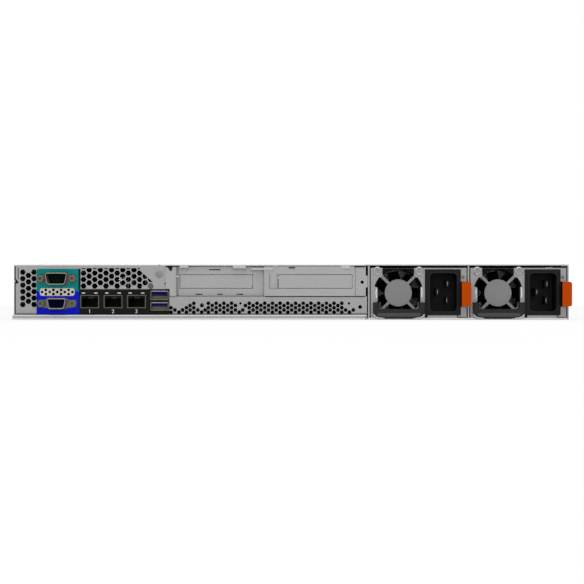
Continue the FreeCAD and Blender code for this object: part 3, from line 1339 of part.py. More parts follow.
def hard_drive(n, x):
    """A drive between the rails of its carrier, with its low plug end to the rear."""
    piece = Piece("hard_drive_%d" % n, x=x + (CARRIER_WIDTH - DRIVE_WIDTH) / 2, y=FRONT - DRIVE_LENGTH - 0.2,
                  z=SHEET_T + GAP + 1)
    body = piece.outline("XZ")
    body.box(0, 0, DRIVE_WIDTH, DRIVE_HEIGHT)
    piece.pad(body, DRIVE_LENGTH)
    piece.round_edges(3, "Z")
    step = piece.outline("XY", -1)
    step.box(12, -1, 60, 6)
    piece.cut(step, 8)
    return piece


PANEL_LEFT = BAY_LEFT + BAY_PITCH * 3 + BAY_WALL + GAP
BUTTON = (size("button_x", 18, "front panel's right side to the power button"), 28)
BUTTON_R = size("button_radius", 4.5, "radius of the power button")


def front_panel():
    """The operator panel beside the bays: a moulded block with its button hole and sockets."""
    piece = Piece("front_panel", y=FRONT - 30, z=SHEET_T)
    right = INNER - GAP
    block_outline = piece.outline("XZ")
    block_outline.box(PANEL_LEFT, 0, right, WALL_TOP - SHEET_T - 0.1)
    piece.pad(block_outline, 30 + BEZEL_DEPTH)
    holes = piece.outline("XZ", 29)
    holes.circle(right - BUTTON[0], BUTTON[1], BUTTON_R + 0.2)
    piece.cut(holes, BEZEL_DEPTH + 3)
    sockets = piece.outline("XZ", 24)
    sockets.box(PANEL_LEFT + 10, 22, PANEL_LEFT + 24, 28.5)
    sockets.box(PANEL_LEFT + 30, 22, PANEL_LEFT + 44, 28.5)
    piece.cut(sockets, BEZEL_DEPTH + 8)
    slits = piece.outline("XZ", 36)
    slits.box(PANEL_LEFT + 6, 5, PANEL_LEFT + 8.4, 15)
    piece.row(piece.cut(slits, 7), ("X", 4.6, 16))
    return piece


def power_button():
    """The round power button in the operator panel, with its stem behind it."""
    x = INNER - GAP - BUTTON[0]
    piece = Piece("power_button", x=x, y=FRONT + 3, z=SHEET_T + BUTTON[1])
    cap = piece.outline("XZ")
    cap.circle(0, 0, BUTTON_R)
    piece.pad(cap, BEZEL_DEPTH - 2.4)
    dish = piece.outline("XZ", BEZEL_DEPTH - 2.9)
    dish.circle(0, 0, BUTTON_R - 1.4)
    piece.cut(dish, 1)
    return piece


EAR_SPAN = size("rack_width", 482.6, "width over the rack ears")
SLOT_SPAN = size("rack_slot_span", 465.1, "spacing of the rack slots across the rack")
SLOT_RISE = size("rack_slot_rise", 31.75, "spacing of the rack slots up the rack")
SLOT_R = size("rack_slot_radius", 3.4, "half width of a rack slot")
SLOT_LENGTH = size("rack_slot_length", 10.4, "length of a rack slot")


def rack_ear(side, name):
    """A bent rack ear with its two slots, lying against the chassis side."""
    piece = Piece(name, y=FRONT - 40)
    t = 2.0
    tip = EAR_SPAN / 2
    plan = piece.outline("XY")
    shape = [(SIDE, 0), (SIDE + t, 0), (SIDE + t, 44), (tip, 44), (tip, 44 + t), (SIDE, 44 + t)]
    plan.loop([(x * side, y) for x, y in shape])
    piece.pad(plan, HEIGHT)
    slots = piece.outline("XZ", 43)
    for rise in (-0.5, 0.5):
        middle = HEIGHT / 2 + SLOT_RISE * rise
        start = SLOT_SPAN / 2 * side - SLOT_LENGTH / 2
        slots.rounded(start, middle - SLOT_R, start + SLOT_LENGTH, middle + SLOT_R, SLOT_R - 0.001)
    piece.cut(slots, 5)
    return piece


# ---------------------------------------------------------------- covers

FRONT_COVER_LENGTH = DEPTH - COVER_LENGTH - GAP
LATCH = (size("latch_length", 64, "length of the cover latch"),
         size("latch_width", 26, "width of the cover latch"))
LATCH_AT = (0, 296)
LATCH_AXLE = (size("latch_axle_in", 4.2, "rear edge of the latch's tub to its axle"),
              size("latch_axle_down", 1.4, "underside of the cover to the latch's axle"))
TUB_DEPTH = size("latch_tub_depth", 4.6, "depth of the tub for the cover latch")
HEM_DEPTH = size("cover_hem_depth", 1.4, "depth of the sliding cover's side hems")


def front_cover():
    """The fixed cover over the drive bays."""
    piece = Piece("front_cover", y=FRONT - FRONT_COVER_LENGTH, z=WALL_TOP)
    plan = piece.outline("XY")
    plan.box(-SIDE, 0, SIDE, FRONT_COVER_LENGTH)
    piece.pad(plan, HEIGHT - WALL_TOP)
    return piece


def top_cover():
    """The sliding cover with its side hems and the tub for the latch."""
    piece = Piece("top_cover", y=REAR, z=HEIGHT - COVER_T)
    plan = piece.outline("XY")
    plan.box(-SIDE, 0, SIDE, COVER_LENGTH)
    piece.pad(plan, COVER_T)
    hem_start = PSU_BAY_DEPTH + 20
    for side in (-1, 1):
        hem = piece.outline("XY", -HEM_DEPTH)
        inner = (INNER - 0.4) * side
        edges = sorted((inner, inner - COVER_T * side), key=number_of)
        hem.box(edges[0], hem_start, edges[1], COVER_LENGTH - 20)
        piece.pad(hem, HEM_DEPTH + COVER_T)
    length, width = LATCH
    x, y = LATCH_AT
    wall = 0.8
    tub = piece.outline("XY", -TUB_DEPTH)
    tub.box(x - wall, y - wall, x + length + wall, y + width + wall)
    piece.pad(tub, TUB_DEPTH + COVER_T)
    hollow = piece.outline("XY", -TUB_DEPTH + wall)
    hollow.box(x, y, x + length, y + width)
    piece.cut(hollow, TUB_DEPTH + COVER_T)
    axle = piece.outline("YZ", x - wall - 1)
    axle.circle(y + LATCH_AXLE[0], -LATCH_AXLE[1], 1.0 + SHAFT_FIT)
    piece.cut(axle, length + wall * 2 + 2)
    notch = piece.outline("XY", -0.1)
    notch.box(-104.2, -1, -102.6, 3)
    piece.cut(notch, COVER_T + 0.2)
    return piece


def cover_latch():
    """The flush latch of the sliding cover: a plate on an axle in the tub."""
    length, width = LATCH
    x, y = LATCH_AT
    inwards, down = LATCH_AXLE
    piece = Piece("cover_latch", x=x, y=REAR + y + inwards, z=HEIGHT - COVER_T - down)
    plate = piece.outline("YZ", GAP)
    reach = width - inwards - GAP
    plate.loop([(-1.2, -1.2), (2.6, -1.2), (reach - 9, 0.2), (reach, 0.2), (reach, 1.8), (-1.0, 1.8),
                (-1.8, 1.0)])
    piece.pad(plate, length - GAP * 2)
    axle = piece.outline("YZ", -0.6)
    axle.circle(0, 0, 1.0)
    piece.pad(axle, length + 1.2)
    return piece


# ---------------------------------------------------------------- build, check and write

def build_all():
    chassis_tray()
    rear_panel()
    port_label()
    io_label()
    d_connector("serial_connector", SERIAL, SERIAL_SHELL, False)
    d_connector("vga_connector", VGA, VGA_SHELL, True)
    jackscrews()
    network_jacks()
    usb_ports()
    riser_bracket()
    slot_blanks()
    riser_card()
    psu_cage()
    for n in (1, 2):
        power_supply(n)
    motherboard()
    board_standoffs()
    memory_modules()
    cpu_heatsinks()
    chassis_fans()
    drive_cage()
    backplane()
    for n in (1, 2, 3):
        x = BAY_LEFT + BAY_WALL + GAP + BAY_PITCH * (n - 1)
        drive_carrier(n, x)
        carrier_lever(n, x)
        hard_drive(n, x)
    front_panel()
    power_button()
    rack_ear(-1, "rack_ear_left")
    rack_ear(1, "rack_ear_right")
    front_cover()
    top_cover()
    cover_latch()


def check_document():
    """Stop on any failed object, empty cut or bad solid."""
    for item in DOC.Objects:
        if "Invalid" in item.State or "Error" in item.State:
            raise RuntimeError("%s (%s) failed: %s" % (item.Name, item.Label, item.State))
        if item.TypeId == "PartDesign::Pocket":
            before = item.BaseFeature.Shape.Volume
            if item.Shape.Volume > before - EPS:
                raise RuntimeError("%s of %s cuts nothing" % (item.Name, item.getParent().Label))
    for node in NODES:
        shape = node.Shape
        if shape.isNull() or not shape.isValid() or not shape.Solids:
            raise RuntimeError("%s has no valid shape" % node.Label)


def write_parts():
    os.makedirs("parts", exist_ok=True)
    for node in NODES:
        node.Shape.exportStep(os.path.join("parts", node.Label + ".step"))
        print("%-22s %3d solids  %10.1f mm3" % (node.Label, len(node.Shape.Solids), node.Shape.Volume))


DOC.recompute()
build_all()
DOC.recompute()
check_document()
write_parts()
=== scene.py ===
"""Dresses the one-unit rack server: its finishes, fine pieces, studio and camera."""

import json
import logging
import math
from dataclasses import dataclass, field
from enum import Enum
from typing import ClassVar

import bmesh
import bpy
from mathutils import Matrix, Vector


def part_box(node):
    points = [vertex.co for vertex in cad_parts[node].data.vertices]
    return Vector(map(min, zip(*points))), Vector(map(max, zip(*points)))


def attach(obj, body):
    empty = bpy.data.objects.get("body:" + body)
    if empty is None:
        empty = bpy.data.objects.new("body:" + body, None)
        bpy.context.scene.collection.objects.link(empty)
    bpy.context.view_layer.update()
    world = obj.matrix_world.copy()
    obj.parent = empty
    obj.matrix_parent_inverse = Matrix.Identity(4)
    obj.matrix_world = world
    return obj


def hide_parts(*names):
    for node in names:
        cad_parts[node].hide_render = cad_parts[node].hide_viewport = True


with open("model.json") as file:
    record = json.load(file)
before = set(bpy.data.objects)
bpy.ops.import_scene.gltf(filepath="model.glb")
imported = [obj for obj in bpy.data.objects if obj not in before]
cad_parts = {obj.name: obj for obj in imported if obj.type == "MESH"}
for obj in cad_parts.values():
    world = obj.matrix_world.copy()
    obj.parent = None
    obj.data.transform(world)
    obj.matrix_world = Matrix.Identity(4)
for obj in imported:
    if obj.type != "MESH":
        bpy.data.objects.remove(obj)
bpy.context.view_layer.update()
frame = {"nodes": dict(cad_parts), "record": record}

logging.basicConfig(level=logging.INFO, format="%(message)s")
LOG = logging.getLogger("rack_server")

MM = 0.001
FONT_SHARE = 1.4
PRINT_DEPTH = 0.00003
SMOOTH_ANGLE = math.radians(35)
FULL_TURN = 2 * math.pi
EDGE_ANGLE = math.radians(60)
CORNER_ANGLE = 0.6
TOUCH = 1e-7

Point = tuple[float, float, float]
Pair = tuple[float, float]
Colour = tuple[float, float, float, float]
Shape = bmesh.types.BMesh
Piece = bpy.types.Object
BLACK: Colour = (0, 0, 0, 1)
WHITE: Colour = (1, 1, 1, 1)


def linear(red: int, green: int, blue: int) -> Colour:
    """Turns a screen colour into the linear colour that a shader takes.

    Args:
        red: Red from 0 to 255.
        green: Green from 0 to 255.
        blue: Blue from 0 to 255.

    Returns:
        The linear colour with full alpha.
    """
    def channel(value: int) -> float:
        share = value / 255
        return share / 12.92 if share <= 0.04045 else ((share + 0.055) / 1.055) ** 2.4

    return channel(red), channel(green), channel(blue), 1.0


def shade(colour: Colour, factor: float) -> Colour:
    """Returns a colour made darker or lighter by a factor."""
    return tuple(min(1.0, part * factor) for part in colour[:3]) + (1.0,)


def millimetres(x: float, y: float, z: float) -> Vector:
    """Returns a point given in millimetres as a vector in metres."""
    return Vector((x, y, z)) * MM


def linked(name: str, data: bpy.types.ID) -> Piece:
    """Returns a new object in the scene that shows a mesh, curve, light or camera."""
    made = bpy.data.objects.new(name, data)
    bpy.context.scene.collection.objects.link(made)
    return made


def baked(host: Piece) -> bpy.types.Mesh:
    """Returns an object's final shape as a plain mesh of its own."""
    depsgraph = bpy.context.evaluated_depsgraph_get()
    return bpy.data.meshes.new_from_object(host.evaluated_get(depsgraph), depsgraph=depsgraph)


# ------------------------------------------------------------------ node graphs


class Sock:
    """An output of a node that takes part in Python arithmetic."""

    def __init__(self, graph: "Graph", out: bpy.types.NodeSocket) -> None:
        """Keeps the graph and the output that the value comes from."""
        self.graph = graph
        self.out = out

    @property
    def is_vector(self) -> bool:
        """Says whether the value has three components."""
        return self.out.type == "VECTOR"

    def math(self, operation: str, *others: "Sock | float") -> "Sock":
        """Adds a Math node, or a Vector Math node for a vector.

        Args:
            operation: The node's operation.
            others: Its second and third values.

        Returns:
            The node's result.
        """
        kind = "ShaderNodeVectorMath" if self.is_vector else "ShaderNodeMath"
        values = dict(enumerate((self, *others)))
        return self.graph.value(kind, values, operation=operation)

    def __add__(self, other: "Sock | float") -> "Sock":
        """Adds."""
        return self.math("ADD", other)

    __radd__ = __add__

    def __sub__(self, other: "Sock | float") -> "Sock":
        """Takes the other value away from this one."""
        return self.math("SUBTRACT", other)

    def __rsub__(self, other: float) -> "Sock":
        """Takes this value away from a number."""
        return (self * -1) + other

    def __mul__(self, other: "Sock | float") -> "Sock":
        """Multiplies, and scales a vector by a number or a value."""
        if self.is_vector and not (isinstance(other, Sock) and other.is_vector):
            return self.graph.value("ShaderNodeVectorMath", {"Vector": self, "Scale": other},
                                    operation="SCALE")
        return self.math("MULTIPLY", other)

    __rmul__ = __mul__

    def __truediv__(self, other: "Sock | float") -> "Sock":
        """Divides by the other value."""
        return self.math("DIVIDE", other)

    def __mod__(self, other: "Sock | float") -> "Sock":
        """Returns the remainder of a division."""
        return self.math("MODULO", other)

    def step(self, edge: float, width: float) -> "Sock":
        """Returns a soft step that rises from 0 to 1 round an edge."""
        rising = (self - (edge - width / 2)) / width
        return rising.math("MAXIMUM", 0.0).math("MINIMUM", 1.0)


class Graph:
    """A node tree and the one way in which nodes are added to it."""

    def __init__(self, tree: bpy.types.NodeTree) -> None:
        """Keeps the tree."""
        self.tree = tree

    @classmethod
    def emptied(cls, owner: bpy.types.Material | bpy.types.World) -> "Graph":
        """Returns the graph of a material or world, with no node in it."""
        owner.use_nodes = True
        owner.node_tree.nodes.clear()
        return cls(owner.node_tree)

    def node(self, kind: str, inputs: dict | None = None, **settings: str | bool) -> bpy.types.Node:
        """Adds a node.

        Args:
            kind: The node's type name.
            inputs: Values or links for its sockets, by name or number.
            settings: Its properties, which are set first.

        Returns:
            The new node.
        """
        made = self.tree.nodes.new(kind)
        for key, value in settings.items():
            setattr(made, key, value)
        for key, value in (inputs or {}).items():
            if isinstance(value, Sock):
                self.tree.links.new(value.out, made.inputs[key])
            else:
                made.inputs[key].default_value = value
        return made

    def value(self, kind: str, inputs: dict | None = None, out: int | str = 0,
              **settings: str | bool) -> Sock:
        """Adds a node and returns one of its outputs."""
        return Sock(self, self.node(kind, inputs, **settings).outputs[out])

    def place(self, stretch: Point = (1, 1, 1)) -> Sock:
        """Returns the object's own coordinates, stretched along its axes."""
        at = self.value("ShaderNodeTexCoord", out="Object")
        return self.value("ShaderNodeMapping", {"Vector": at, "Scale": stretch})

    def axis(self, name: str) -> Sock:
        """Returns one of the object's own coordinates in metres."""
        at = self.value("ShaderNodeTexCoord", out="Object")
        return self.value("ShaderNodeSeparateXYZ", {0: at}, out=name)

    def noise(self, scale: float, detail: float = 3.0, stretch: Point = (1, 1, 1)) -> Sock:
        """Returns a noise pattern from 0 to 1, finer along an axis by its stretch."""
        at = self.place(stretch)
        return self.value("ShaderNodeTexNoise", {"Vector": at, "Scale": scale, "Detail": detail})

    def tint(self, share: Sock, low: Colour | Sock, high: Colour | Sock) -> Sock:
        """Mixes two colours by a share."""
        return self.value("ShaderNodeMix", {0: share, 6: low, 7: high}, out=2, data_type="RGBA",
                          clamp_factor=True)

    def shades(self, share: Sock, colour: Colour, low: float, high: float) -> Sock:
        """Mixes two shades of a colour, each given by its factor, by a share."""
        return self.tint(share, shade(colour, low), shade(colour, high))

    def bump(self, height: Sock, distance: float, strength: float = 0.3) -> Sock:
        """Returns a normal raised by a height pattern."""
        return self.value("ShaderNodeBump",
                          {"Height": height, "Distance": distance, "Strength": strength})


# ------------------------------------------------------------------ finishes


@dataclass(frozen=True)
class Finish:
    """A surface finish; each kind says how its surface varies."""

    name: str
    colour: Colour
    roughness: float = 0.5
    metallic: float = 0.0
    gloss: float = 0.3

    def make(self) -> bpy.types.Material:
        """Makes the finish's material.

        Returns:
            The new material.
        """
        material = bpy.data.materials.new(self.name)
        material.diffuse_color = self.colour
        graph = Graph.emptied(material)
        values = {"Base Color": self.colour, "Roughness": self.roughness, "Metallic": self.metallic,
                  "Specular IOR Level": self.gloss}
        values.update(self.vary(graph))
        shader = graph.node("ShaderNodeBsdfPrincipled", values)
        graph.node("ShaderNodeOutputMaterial", {"Surface": Sock(graph, shader.outputs[0])})
        return material

    def vary(self, graph: Graph) -> dict:
        """Returns the shader's inputs that vary over the surface."""
        grain = graph.noise(900.0)
        return {"Roughness": grain * 0.1 + (self.roughness - 0.05)}


@dataclass(frozen=True)
class SheetSteel(Finish):
    """Zinc-coated sheet: fine rolling lines, soft cloudiness and handling marks."""

    grain: Point = (1, 40, 40)
    cloud: float = 0.07

    def vary(self, graph: Graph) -> dict:
        """Returns colour, roughness and normal from the rolling lines and clouds."""
        lines = graph.noise(55.0, 4.0, self.grain)
        clouds = graph.noise(42.0, 5.0)
        marks = graph.noise(310.0, 2.0, (1, 1, 3)).step(0.72, 0.08)
        share = clouds * 0.65 + lines * 0.35
        colour = graph.shades(share, self.colour, 1 - self.cloud * 2, 1 + self.cloud * 2)
        return {"Base Color": colour,
                "Roughness": lines * 0.16 + clouds * 0.1 + marks * -0.08 + (self.roughness - 0.1),
                "Normal": graph.bump(lines, 0.00004, 0.25)}


@dataclass(frozen=True)
class PanelSheet(SheetSteel):
    """The rear panel's sheet: a hem paler towards its foot with a painted highlight line along its
    top, a band of painted shade above the hem where the sheet bends, a warm strip over the low vent
    and painted shade on the hole walls.
    """

    hem: Colour = BLACK
    hem_foot: Colour = BLACK
    # Painted highlight: the lit line along the top of the hem.
    hem_line: Colour = BLACK
    # Painted shade: the dark band above the hem where the sheet bends.
    bend: Colour = BLACK
    strip: Colour = BLACK
    # Painted shade on the walls of the vent holes, the sheet behind its face.
    wall: Colour = linear(30, 30, 31)
    hem_top: float = 0.0036
    hem_blur: float = 0.0003
    foot_top: float = 0.0011
    foot_blur: float = 0.0012
    line_height: float = 0.0008
    bend_height: float = 0.0012
    bend_blur: float = 0.0008
    strip_low: Pair = (-0.1970, 0.0184)
    strip_high: Pair = (-0.1694, 0.0247)
    strip_blur: float = 0.0004
    wall_back: float = -0.3551
    wall_blur: float = 0.0002

    def vary(self, graph: Graph) -> dict:
        """Returns the sheet's pattern with the strip, the hem with its painted highlight line, the
        painted shade at the bend and the painted shade on the hole walls laid over its colour.
        """
        inputs = super().vary(graph)
        across, up, behind = (graph.axis(name) for name in "XZY")
        (left, low), (right, high), blur = self.strip_low, self.strip_high, self.strip_blur
        inside = across.step(left, blur) * up.step(low, blur)
        outside = across.step(right, blur).math("MAXIMUM", up.step(high, blur))
        above_hem = up.step(self.hem_top, self.hem_blur)
        # Painted shade in the band just above the hem, where the sheet bends.
        bent = above_hem * (1 - up.step(self.hem_top + self.bend_height, self.bend_blur))
        # Painted highlight in a thin line at the top of the hem.
        in_highlight = up.step(self.hem_top - self.line_height, self.hem_blur)
        hem = graph.tint(1 - up.step(self.foot_top, self.foot_blur), self.hem, self.hem_foot)
        hem = graph.tint(in_highlight, hem, self.hem_line)
        colour = graph.tint(inside * (1 - outside), inputs["Base Color"], self.strip)
        colour = graph.tint(bent, colour, self.bend)
        colour = graph.tint(1 - above_hem, colour, hem)
        # Painted shade: the sheet behind its face, inside the holes, is darkened.
        hole_shade_share = behind.step(self.wall_back, self.wall_blur)
        inputs["Base Color"] = graph.tint(hole_shade_share, colour, self.wall)
        return inputs


@dataclass(frozen=True)
class CoverSheet(SheetSteel):
    """The covers' sheet, with long pressed stiffening beads and a painted highlight along its cut
    rear edge.
    """

    bead_pitch: float = 0.062
    bead_width: float = 0.009
    bead_reach: float = 0.31
    # Painted highlight: the lighter colour of the cut rear edge.
    edge: Colour = BLACK
    edge_back: float = 0.0
    edge_right: float = 0.0575

    def vary(self, graph: Graph) -> dict:
        """Returns the sheet's pattern with the beads in its normal and its cut rear edge lit."""
        inputs = super().vary(graph)
        side, back = graph.axis("X"), graph.axis("Y")
        # Painted highlight along the cut rear edge, up to the edge's right end.
        edge_highlight_share = (1 - back.step(self.edge_back, 0.0002)) * (1 - side.step(self.edge_right, 0.0004))
        inputs["Base Color"] = graph.tint(edge_highlight_share, inputs["Base Color"], self.edge)
        across = (side + 1.0) % self.bead_pitch - self.bead_pitch / 2
        bead = 1 - across.math("ABSOLUTE").step(self.bead_width / 2, 0.003)
        ends = back.math("ABSOLUTE").step(self.bead_reach, 0.006)
        lines = graph.noise(55.0, 4.0, self.grain)
        inputs["Normal"] = graph.bump(bead * (1 - ends) + lines * 0.04, 0.0007, 0.6)
        return inputs


@dataclass(frozen=True)
class CaseSheet(SheetSteel):
    """A power supply's case: a painted highlight along the bottom and dark handle lugs."""

    # Painted highlight: the lighter colour along the bottom.
    foot: Colour = BLACK
    foot_top: float = 0.0018
    lug: Colour = BLACK
    lug_back: float = 0.0

    def vary(self, graph: Graph) -> dict:
        """Returns the sheet's pattern with the painted highlight along the foot and the dark lugs
        laid over its colour.
        """
        inputs = super().vary(graph)
        ahead = 1 - graph.axis("Y").step(self.lug_back, 0.0002)
        # Painted highlight: the case is lighter near the bottom.
        low = 1 - graph.axis("Z").step(self.foot_top, 0.0016)
        colour = graph.tint(low, inputs["Base Color"], self.foot)
        inputs["Base Color"] = graph.tint(ahead, colour, self.lug)
        return inputs


@dataclass(frozen=True)
class PowderCoat(Finish):
    """Powder coat with its fine orange peel and dusty patches."""

    peel: float = 0.00006

    def vary(self, graph: Graph) -> dict:
        """Returns colour, roughness and normal from the peel and the dust."""
        peel = graph.noise(1400.0, 1.0)
        dust = graph.noise(30.0, 5.0)
        colour = graph.shades(dust, self.colour, 0.85, 1.25)
        return {"Base Color": colour,
                "Roughness": dust * 0.14 + peel * 0.06 + (self.roughness - 0.1),
                "Normal": graph.bump(peel, self.peel, 0.4)}


@dataclass(frozen=True)
class Moulded(Finish):
    """Moulded plastic: spark-eroded grain and slightly uneven gloss."""

    grain: float = 0.00005
    spread: float = 0.1

    def vary(self, graph: Graph) -> dict:
        """Returns colour, roughness and normal from the mould's grain."""
        spots = graph.value("ShaderNodeTexVoronoi", {"Vector": graph.place(), "Scale": 2200.0})
        flow = graph.noise(60.0, 3.0, (1, 1, 0.4))
        colour = graph.shades(flow, self.colour, 1 - self.spread, 1 + self.spread)
        return {"Base Color": colour,
                "Roughness": flow * 0.12 + spots * 0.12 + (self.roughness - 0.1),
                "Normal": graph.bump(spots, self.grain, 0.35)}


@dataclass(frozen=True)
class TwoToneLabel(Finish):
    """Printed plate with one colour above and another below a soft split."""

    lower: Colour = BLACK
    split: float = 0.0222
    blend: float = 0.0016

    def vary(self, graph: Graph) -> dict:
        """Returns the split colour with the print's slight unevenness."""
        ink = graph.noise(120.0, 4.0)
        upper_share = graph.axis("Z").step(self.split, self.blend)
        upper, lower = (graph.shades(ink, ground, 0.88, 1.12)
                        for ground in (self.colour, self.lower))
        return {"Base Color": graph.tint(upper_share, lower, upper),
                "Roughness": ink * 0.12 + (self.roughness - 0.06),
                "Normal": graph.bump(graph.noise(2600.0, 1.0), 0.00002, 0.3)}


@dataclass(frozen=True)
class Plated(Finish):
    """Bright plating with turning lines and small dull spots."""

    tarnish: float = 0.2

    def vary(self, graph: Graph) -> dict:
        """Returns colour, roughness and normal from the tarnish and turning lines."""
        dull = graph.noise(260.0, 4.0)
        lines = graph.noise(900.0, 1.0, (1, 6, 1))
        colour = graph.tint(dull, self.colour, shade(self.colour, 1 - self.tarnish))
        return {"Base Color": colour, "Roughness": dull * 0.2 + (self.roughness - 0.08),
                "Normal": graph.bump(lines, 0.00002, 0.3)}


@dataclass(frozen=True)
class CircuitBoard(Finish):
    """Solder mask over copper tracks and plated holes."""

    track: Colour = BLACK

    def vary(self, graph: Graph) -> dict:
        """Returns colour, roughness and normal from the tracks and holes."""
        across = graph.axis("X") * 420.0
        noise = graph.noise(34.0, 2.0)
        bent = (across + noise * 6.0) % 1.0
        tracks = 1 - (bent - 0.5).math("ABSOLUTE").step(0.2, 0.1)
        holes = graph.value("ShaderNodeTexVoronoi", {"Vector": graph.place(), "Scale": 240.0})
        pads = 1 - holes.step(0.16, 0.04)
        colour = graph.tint(tracks * 0.5, self.colour, self.track)
        colour = graph.tint(pads * 0.8, colour, linear(176, 168, 120))
        return {"Base Color": colour, "Roughness": pads * -0.1 + noise * 0.15 + self.roughness,
                "Normal": graph.bump(tracks, 0.00005, 0.4)}


@dataclass(frozen=True)
class Glow(Finish):
    """A small lamp's window that gives a little light of its own."""

    strength: float = 0.6

    def vary(self, graph: Graph) -> dict:
        """Returns the lit colour, brighter in patches."""
        cloud = graph.noise(700.0, 2.0)
        lit = graph.shades(cloud, self.colour, 0.8, 1.2)
        return {"Base Color": lit, "Emission Color": lit, "Emission Strength": self.strength}


STEEL = SheetSteel("zinc_sheet", linear(152, 152, 153), 0.46, 0.3)
# Rear panel sheet: the hem's top line is a painted highlight, the bend band and the hole walls
# painted shade.
STEEL_PANEL = PanelSheet("rear_panel_sheet", linear(148, 148, 149), 0.48, 0.25,
                         hem=linear(145, 145, 147), hem_foot=linear(194, 194, 196),
                         hem_line=linear(196, 196, 197), bend=linear(88, 88, 89),
                         strip=linear(188, 182, 172))
# Cover sheet, with a painted highlight on its cut rear edge.
STEEL_COVER = CoverSheet("cover_sheet", linear(158, 158, 160), 0.42, 0.4,
                         edge=linear(204, 204, 205), edge_back=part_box("top_cover")[0].y + 0.0005)
# A paler copy of the zinc sheet: painted highlight on the hem bead, the sill and the handle's
# corners, and the plain pale colour of the hook and side rivets.
STEEL_PALE_AND_HIGHLIGHT = SheetSteel("pale_zinc_and_highlight_sheet", linear(200, 199, 198), 0.36, 0.35)
# Supply case sheet, with a painted highlight along its foot.
STEEL_CASE = CaseSheet("supply_case_sheet", linear(138, 136, 137), 0.42, 0.35, cloud=0.12,
                       foot=linear(150, 150, 150), lug=linear(34, 34, 35),
                       lug_back=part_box("psu_fan_guard_1")[0].y - 0.0009)
# A paler copy of the zinc sheet for the bent tabs: a painted highlight where light catches them.
TAB_HIGHLIGHT_STEEL = SheetSteel("bent_tab_highlight_sheet", linear(178, 178, 179), 0.45, 0.1)
STEEL_GUARD = SheetSteel("guard_sheet", linear(118, 118, 119), 0.55, 0.1, cloud=0.02)
# Painted highlight: near-white sheet for the bright arcs on the fan mouths' edges.
EDGE_HIGHLIGHT_STEEL = SheetSteel("mouth_edge_highlight_sheet", linear(226, 226, 227), 0.4, 0.1)
PLUG_STEEL = SheetSteel("vent_plug_sheet", linear(80, 80, 81), 0.5, 0.2)
STEEL_RIVET = SheetSteel("rivet_sheet", linear(124, 124, 125), 0.5, 0.2)
BLACK_COAT = PowderCoat("black_powder_coat", linear(34, 34, 36), 0.55, gloss=0.2)
LABEL_PORT = TwoToneLabel("teal_and_blue_label", linear(0, 118, 116), 0.45, gloss=0.06,
                          lower=linear(0, 18, 178))
LABEL_IO = PowderCoat("black_label", linear(18, 14, 13), 0.55, gloss=0.08)
SHELL = Plated("nickel_shell", linear(102, 101, 92), 0.45, 0.5)
# A lighter copy of the nickel shell: painted highlight on the connectors' rolled rims.
SHELL_RIM_HIGHLIGHT = Plated("shell_rim_highlight", linear(150, 148, 140), 0.4, 0.5)
BLACK_PLASTIC = Moulded("black_moulding", linear(34, 34, 35), 0.55, gloss=0.15)
INLET_PLASTIC = Moulded("inlet_moulding", linear(20, 20, 21), 0.5, gloss=0.1)
# Painted shade: black moulding darkened further for the supply fans' rotor and frame, which sit in
# shade inside the case.
ROTOR_PLASTIC_SHADED = Moulded("rotor_moulding_in_painted_shade", linear(4, 4, 4), 0.6, gloss=0.03)
FAN_PLASTIC_SHADED = Moulded("fan_moulding_in_painted_shade", linear(7, 7, 8), 0.5, gloss=0.06)
ORANGE_PLASTIC = Moulded("orange_moulding", linear(172, 62, 0), 0.5, gloss=0.04)
BOARD = CircuitBoard("solder_mask", linear(10, 52, 34), 0.4, track=linear(24, 80, 52))
ALUMINIUM = SheetSteel("extruded_aluminium", linear(180, 182, 186), 0.35, 0.8, grain=(40, 1, 40))
BRASS = Plated("turned_brass", linear(190, 158, 88), 0.3, 1.0)
SCREW = Plated("plated_steel", linear(196, 196, 198), 0.26, 0.85)
SCREW_DISH = Plated("dull_screw_middle", linear(146, 146, 148), 0.6, 0.1, gloss=0.1)
JACK_SHELL = Plated("jack_shell", linear(86, 84, 78), 0.45, 0.4)
# Painted shade: brass darkened for the board standoffs in the dark inside.
BRASS_POST_SHADED = Plated("brass_post_in_painted_shade", linear(88, 76, 46), 0.45, 0.6)
# Painted shade: the small parts' ends darkened, as they sit in the dark inside.
PASSIVE_SHADED = Plated("small_part_ends_in_painted_shade", linear(44, 40, 34), 0.5, 0.3)
DRIVE_CAST = SheetSteel("cast_drive_metal", linear(140, 142, 146), 0.45, 0.6, grain=(1, 1, 1))
# Near-black for painted shadow lines round the slot plates, and for the dark seams and the gap
# between the USB sockets.
SHADOW_LINE_AND_SEAM_BLACK = Moulded("painted_shadow_line_and_seam_black", linear(16, 16, 17), 0.6, gloss=0.1)
SERIAL_FILL = Moulded("serial_insulator", linear(0, 22, 24), 0.55, gloss=0.04)
VGA_FILL = Moulded("video_insulator", linear(0, 0, 32), 0.55, gloss=0.02)
JACK_BLACK = Moulded("jack_moulding", linear(8, 7, 7), 0.55, gloss=0.06)
SHADED_PIN = Plated("shaded_pin", linear(14, 30, 28), 0.55, 0.1, gloss=0.05)
JACK_CONTACT = Plated("shaded_contact", linear(46, 36, 18), 0.5, 0.3, gloss=0.1)
PIN_METAL = Plated("gilded_contact", linear(150, 126, 70), 0.35, 0.9)
PRINT_GREY = PowderCoat("pale_print", linear(208, 206, 200), 0.6, peel=0.00001)
USB_BLUE = Moulded("blue_tongue", linear(10, 0, 76), 0.5, gloss=0.05)
USB_LIP = Plated("usb_lip", linear(166, 162, 172), 0.45, 0.1, gloss=0.2)
SPRING_PLATE = Plated("spring_plate", linear(96, 96, 82), 0.5, 0.2)
USB_SHELL = Plated("dark_shell", linear(32, 31, 29), 0.45, 0.3)
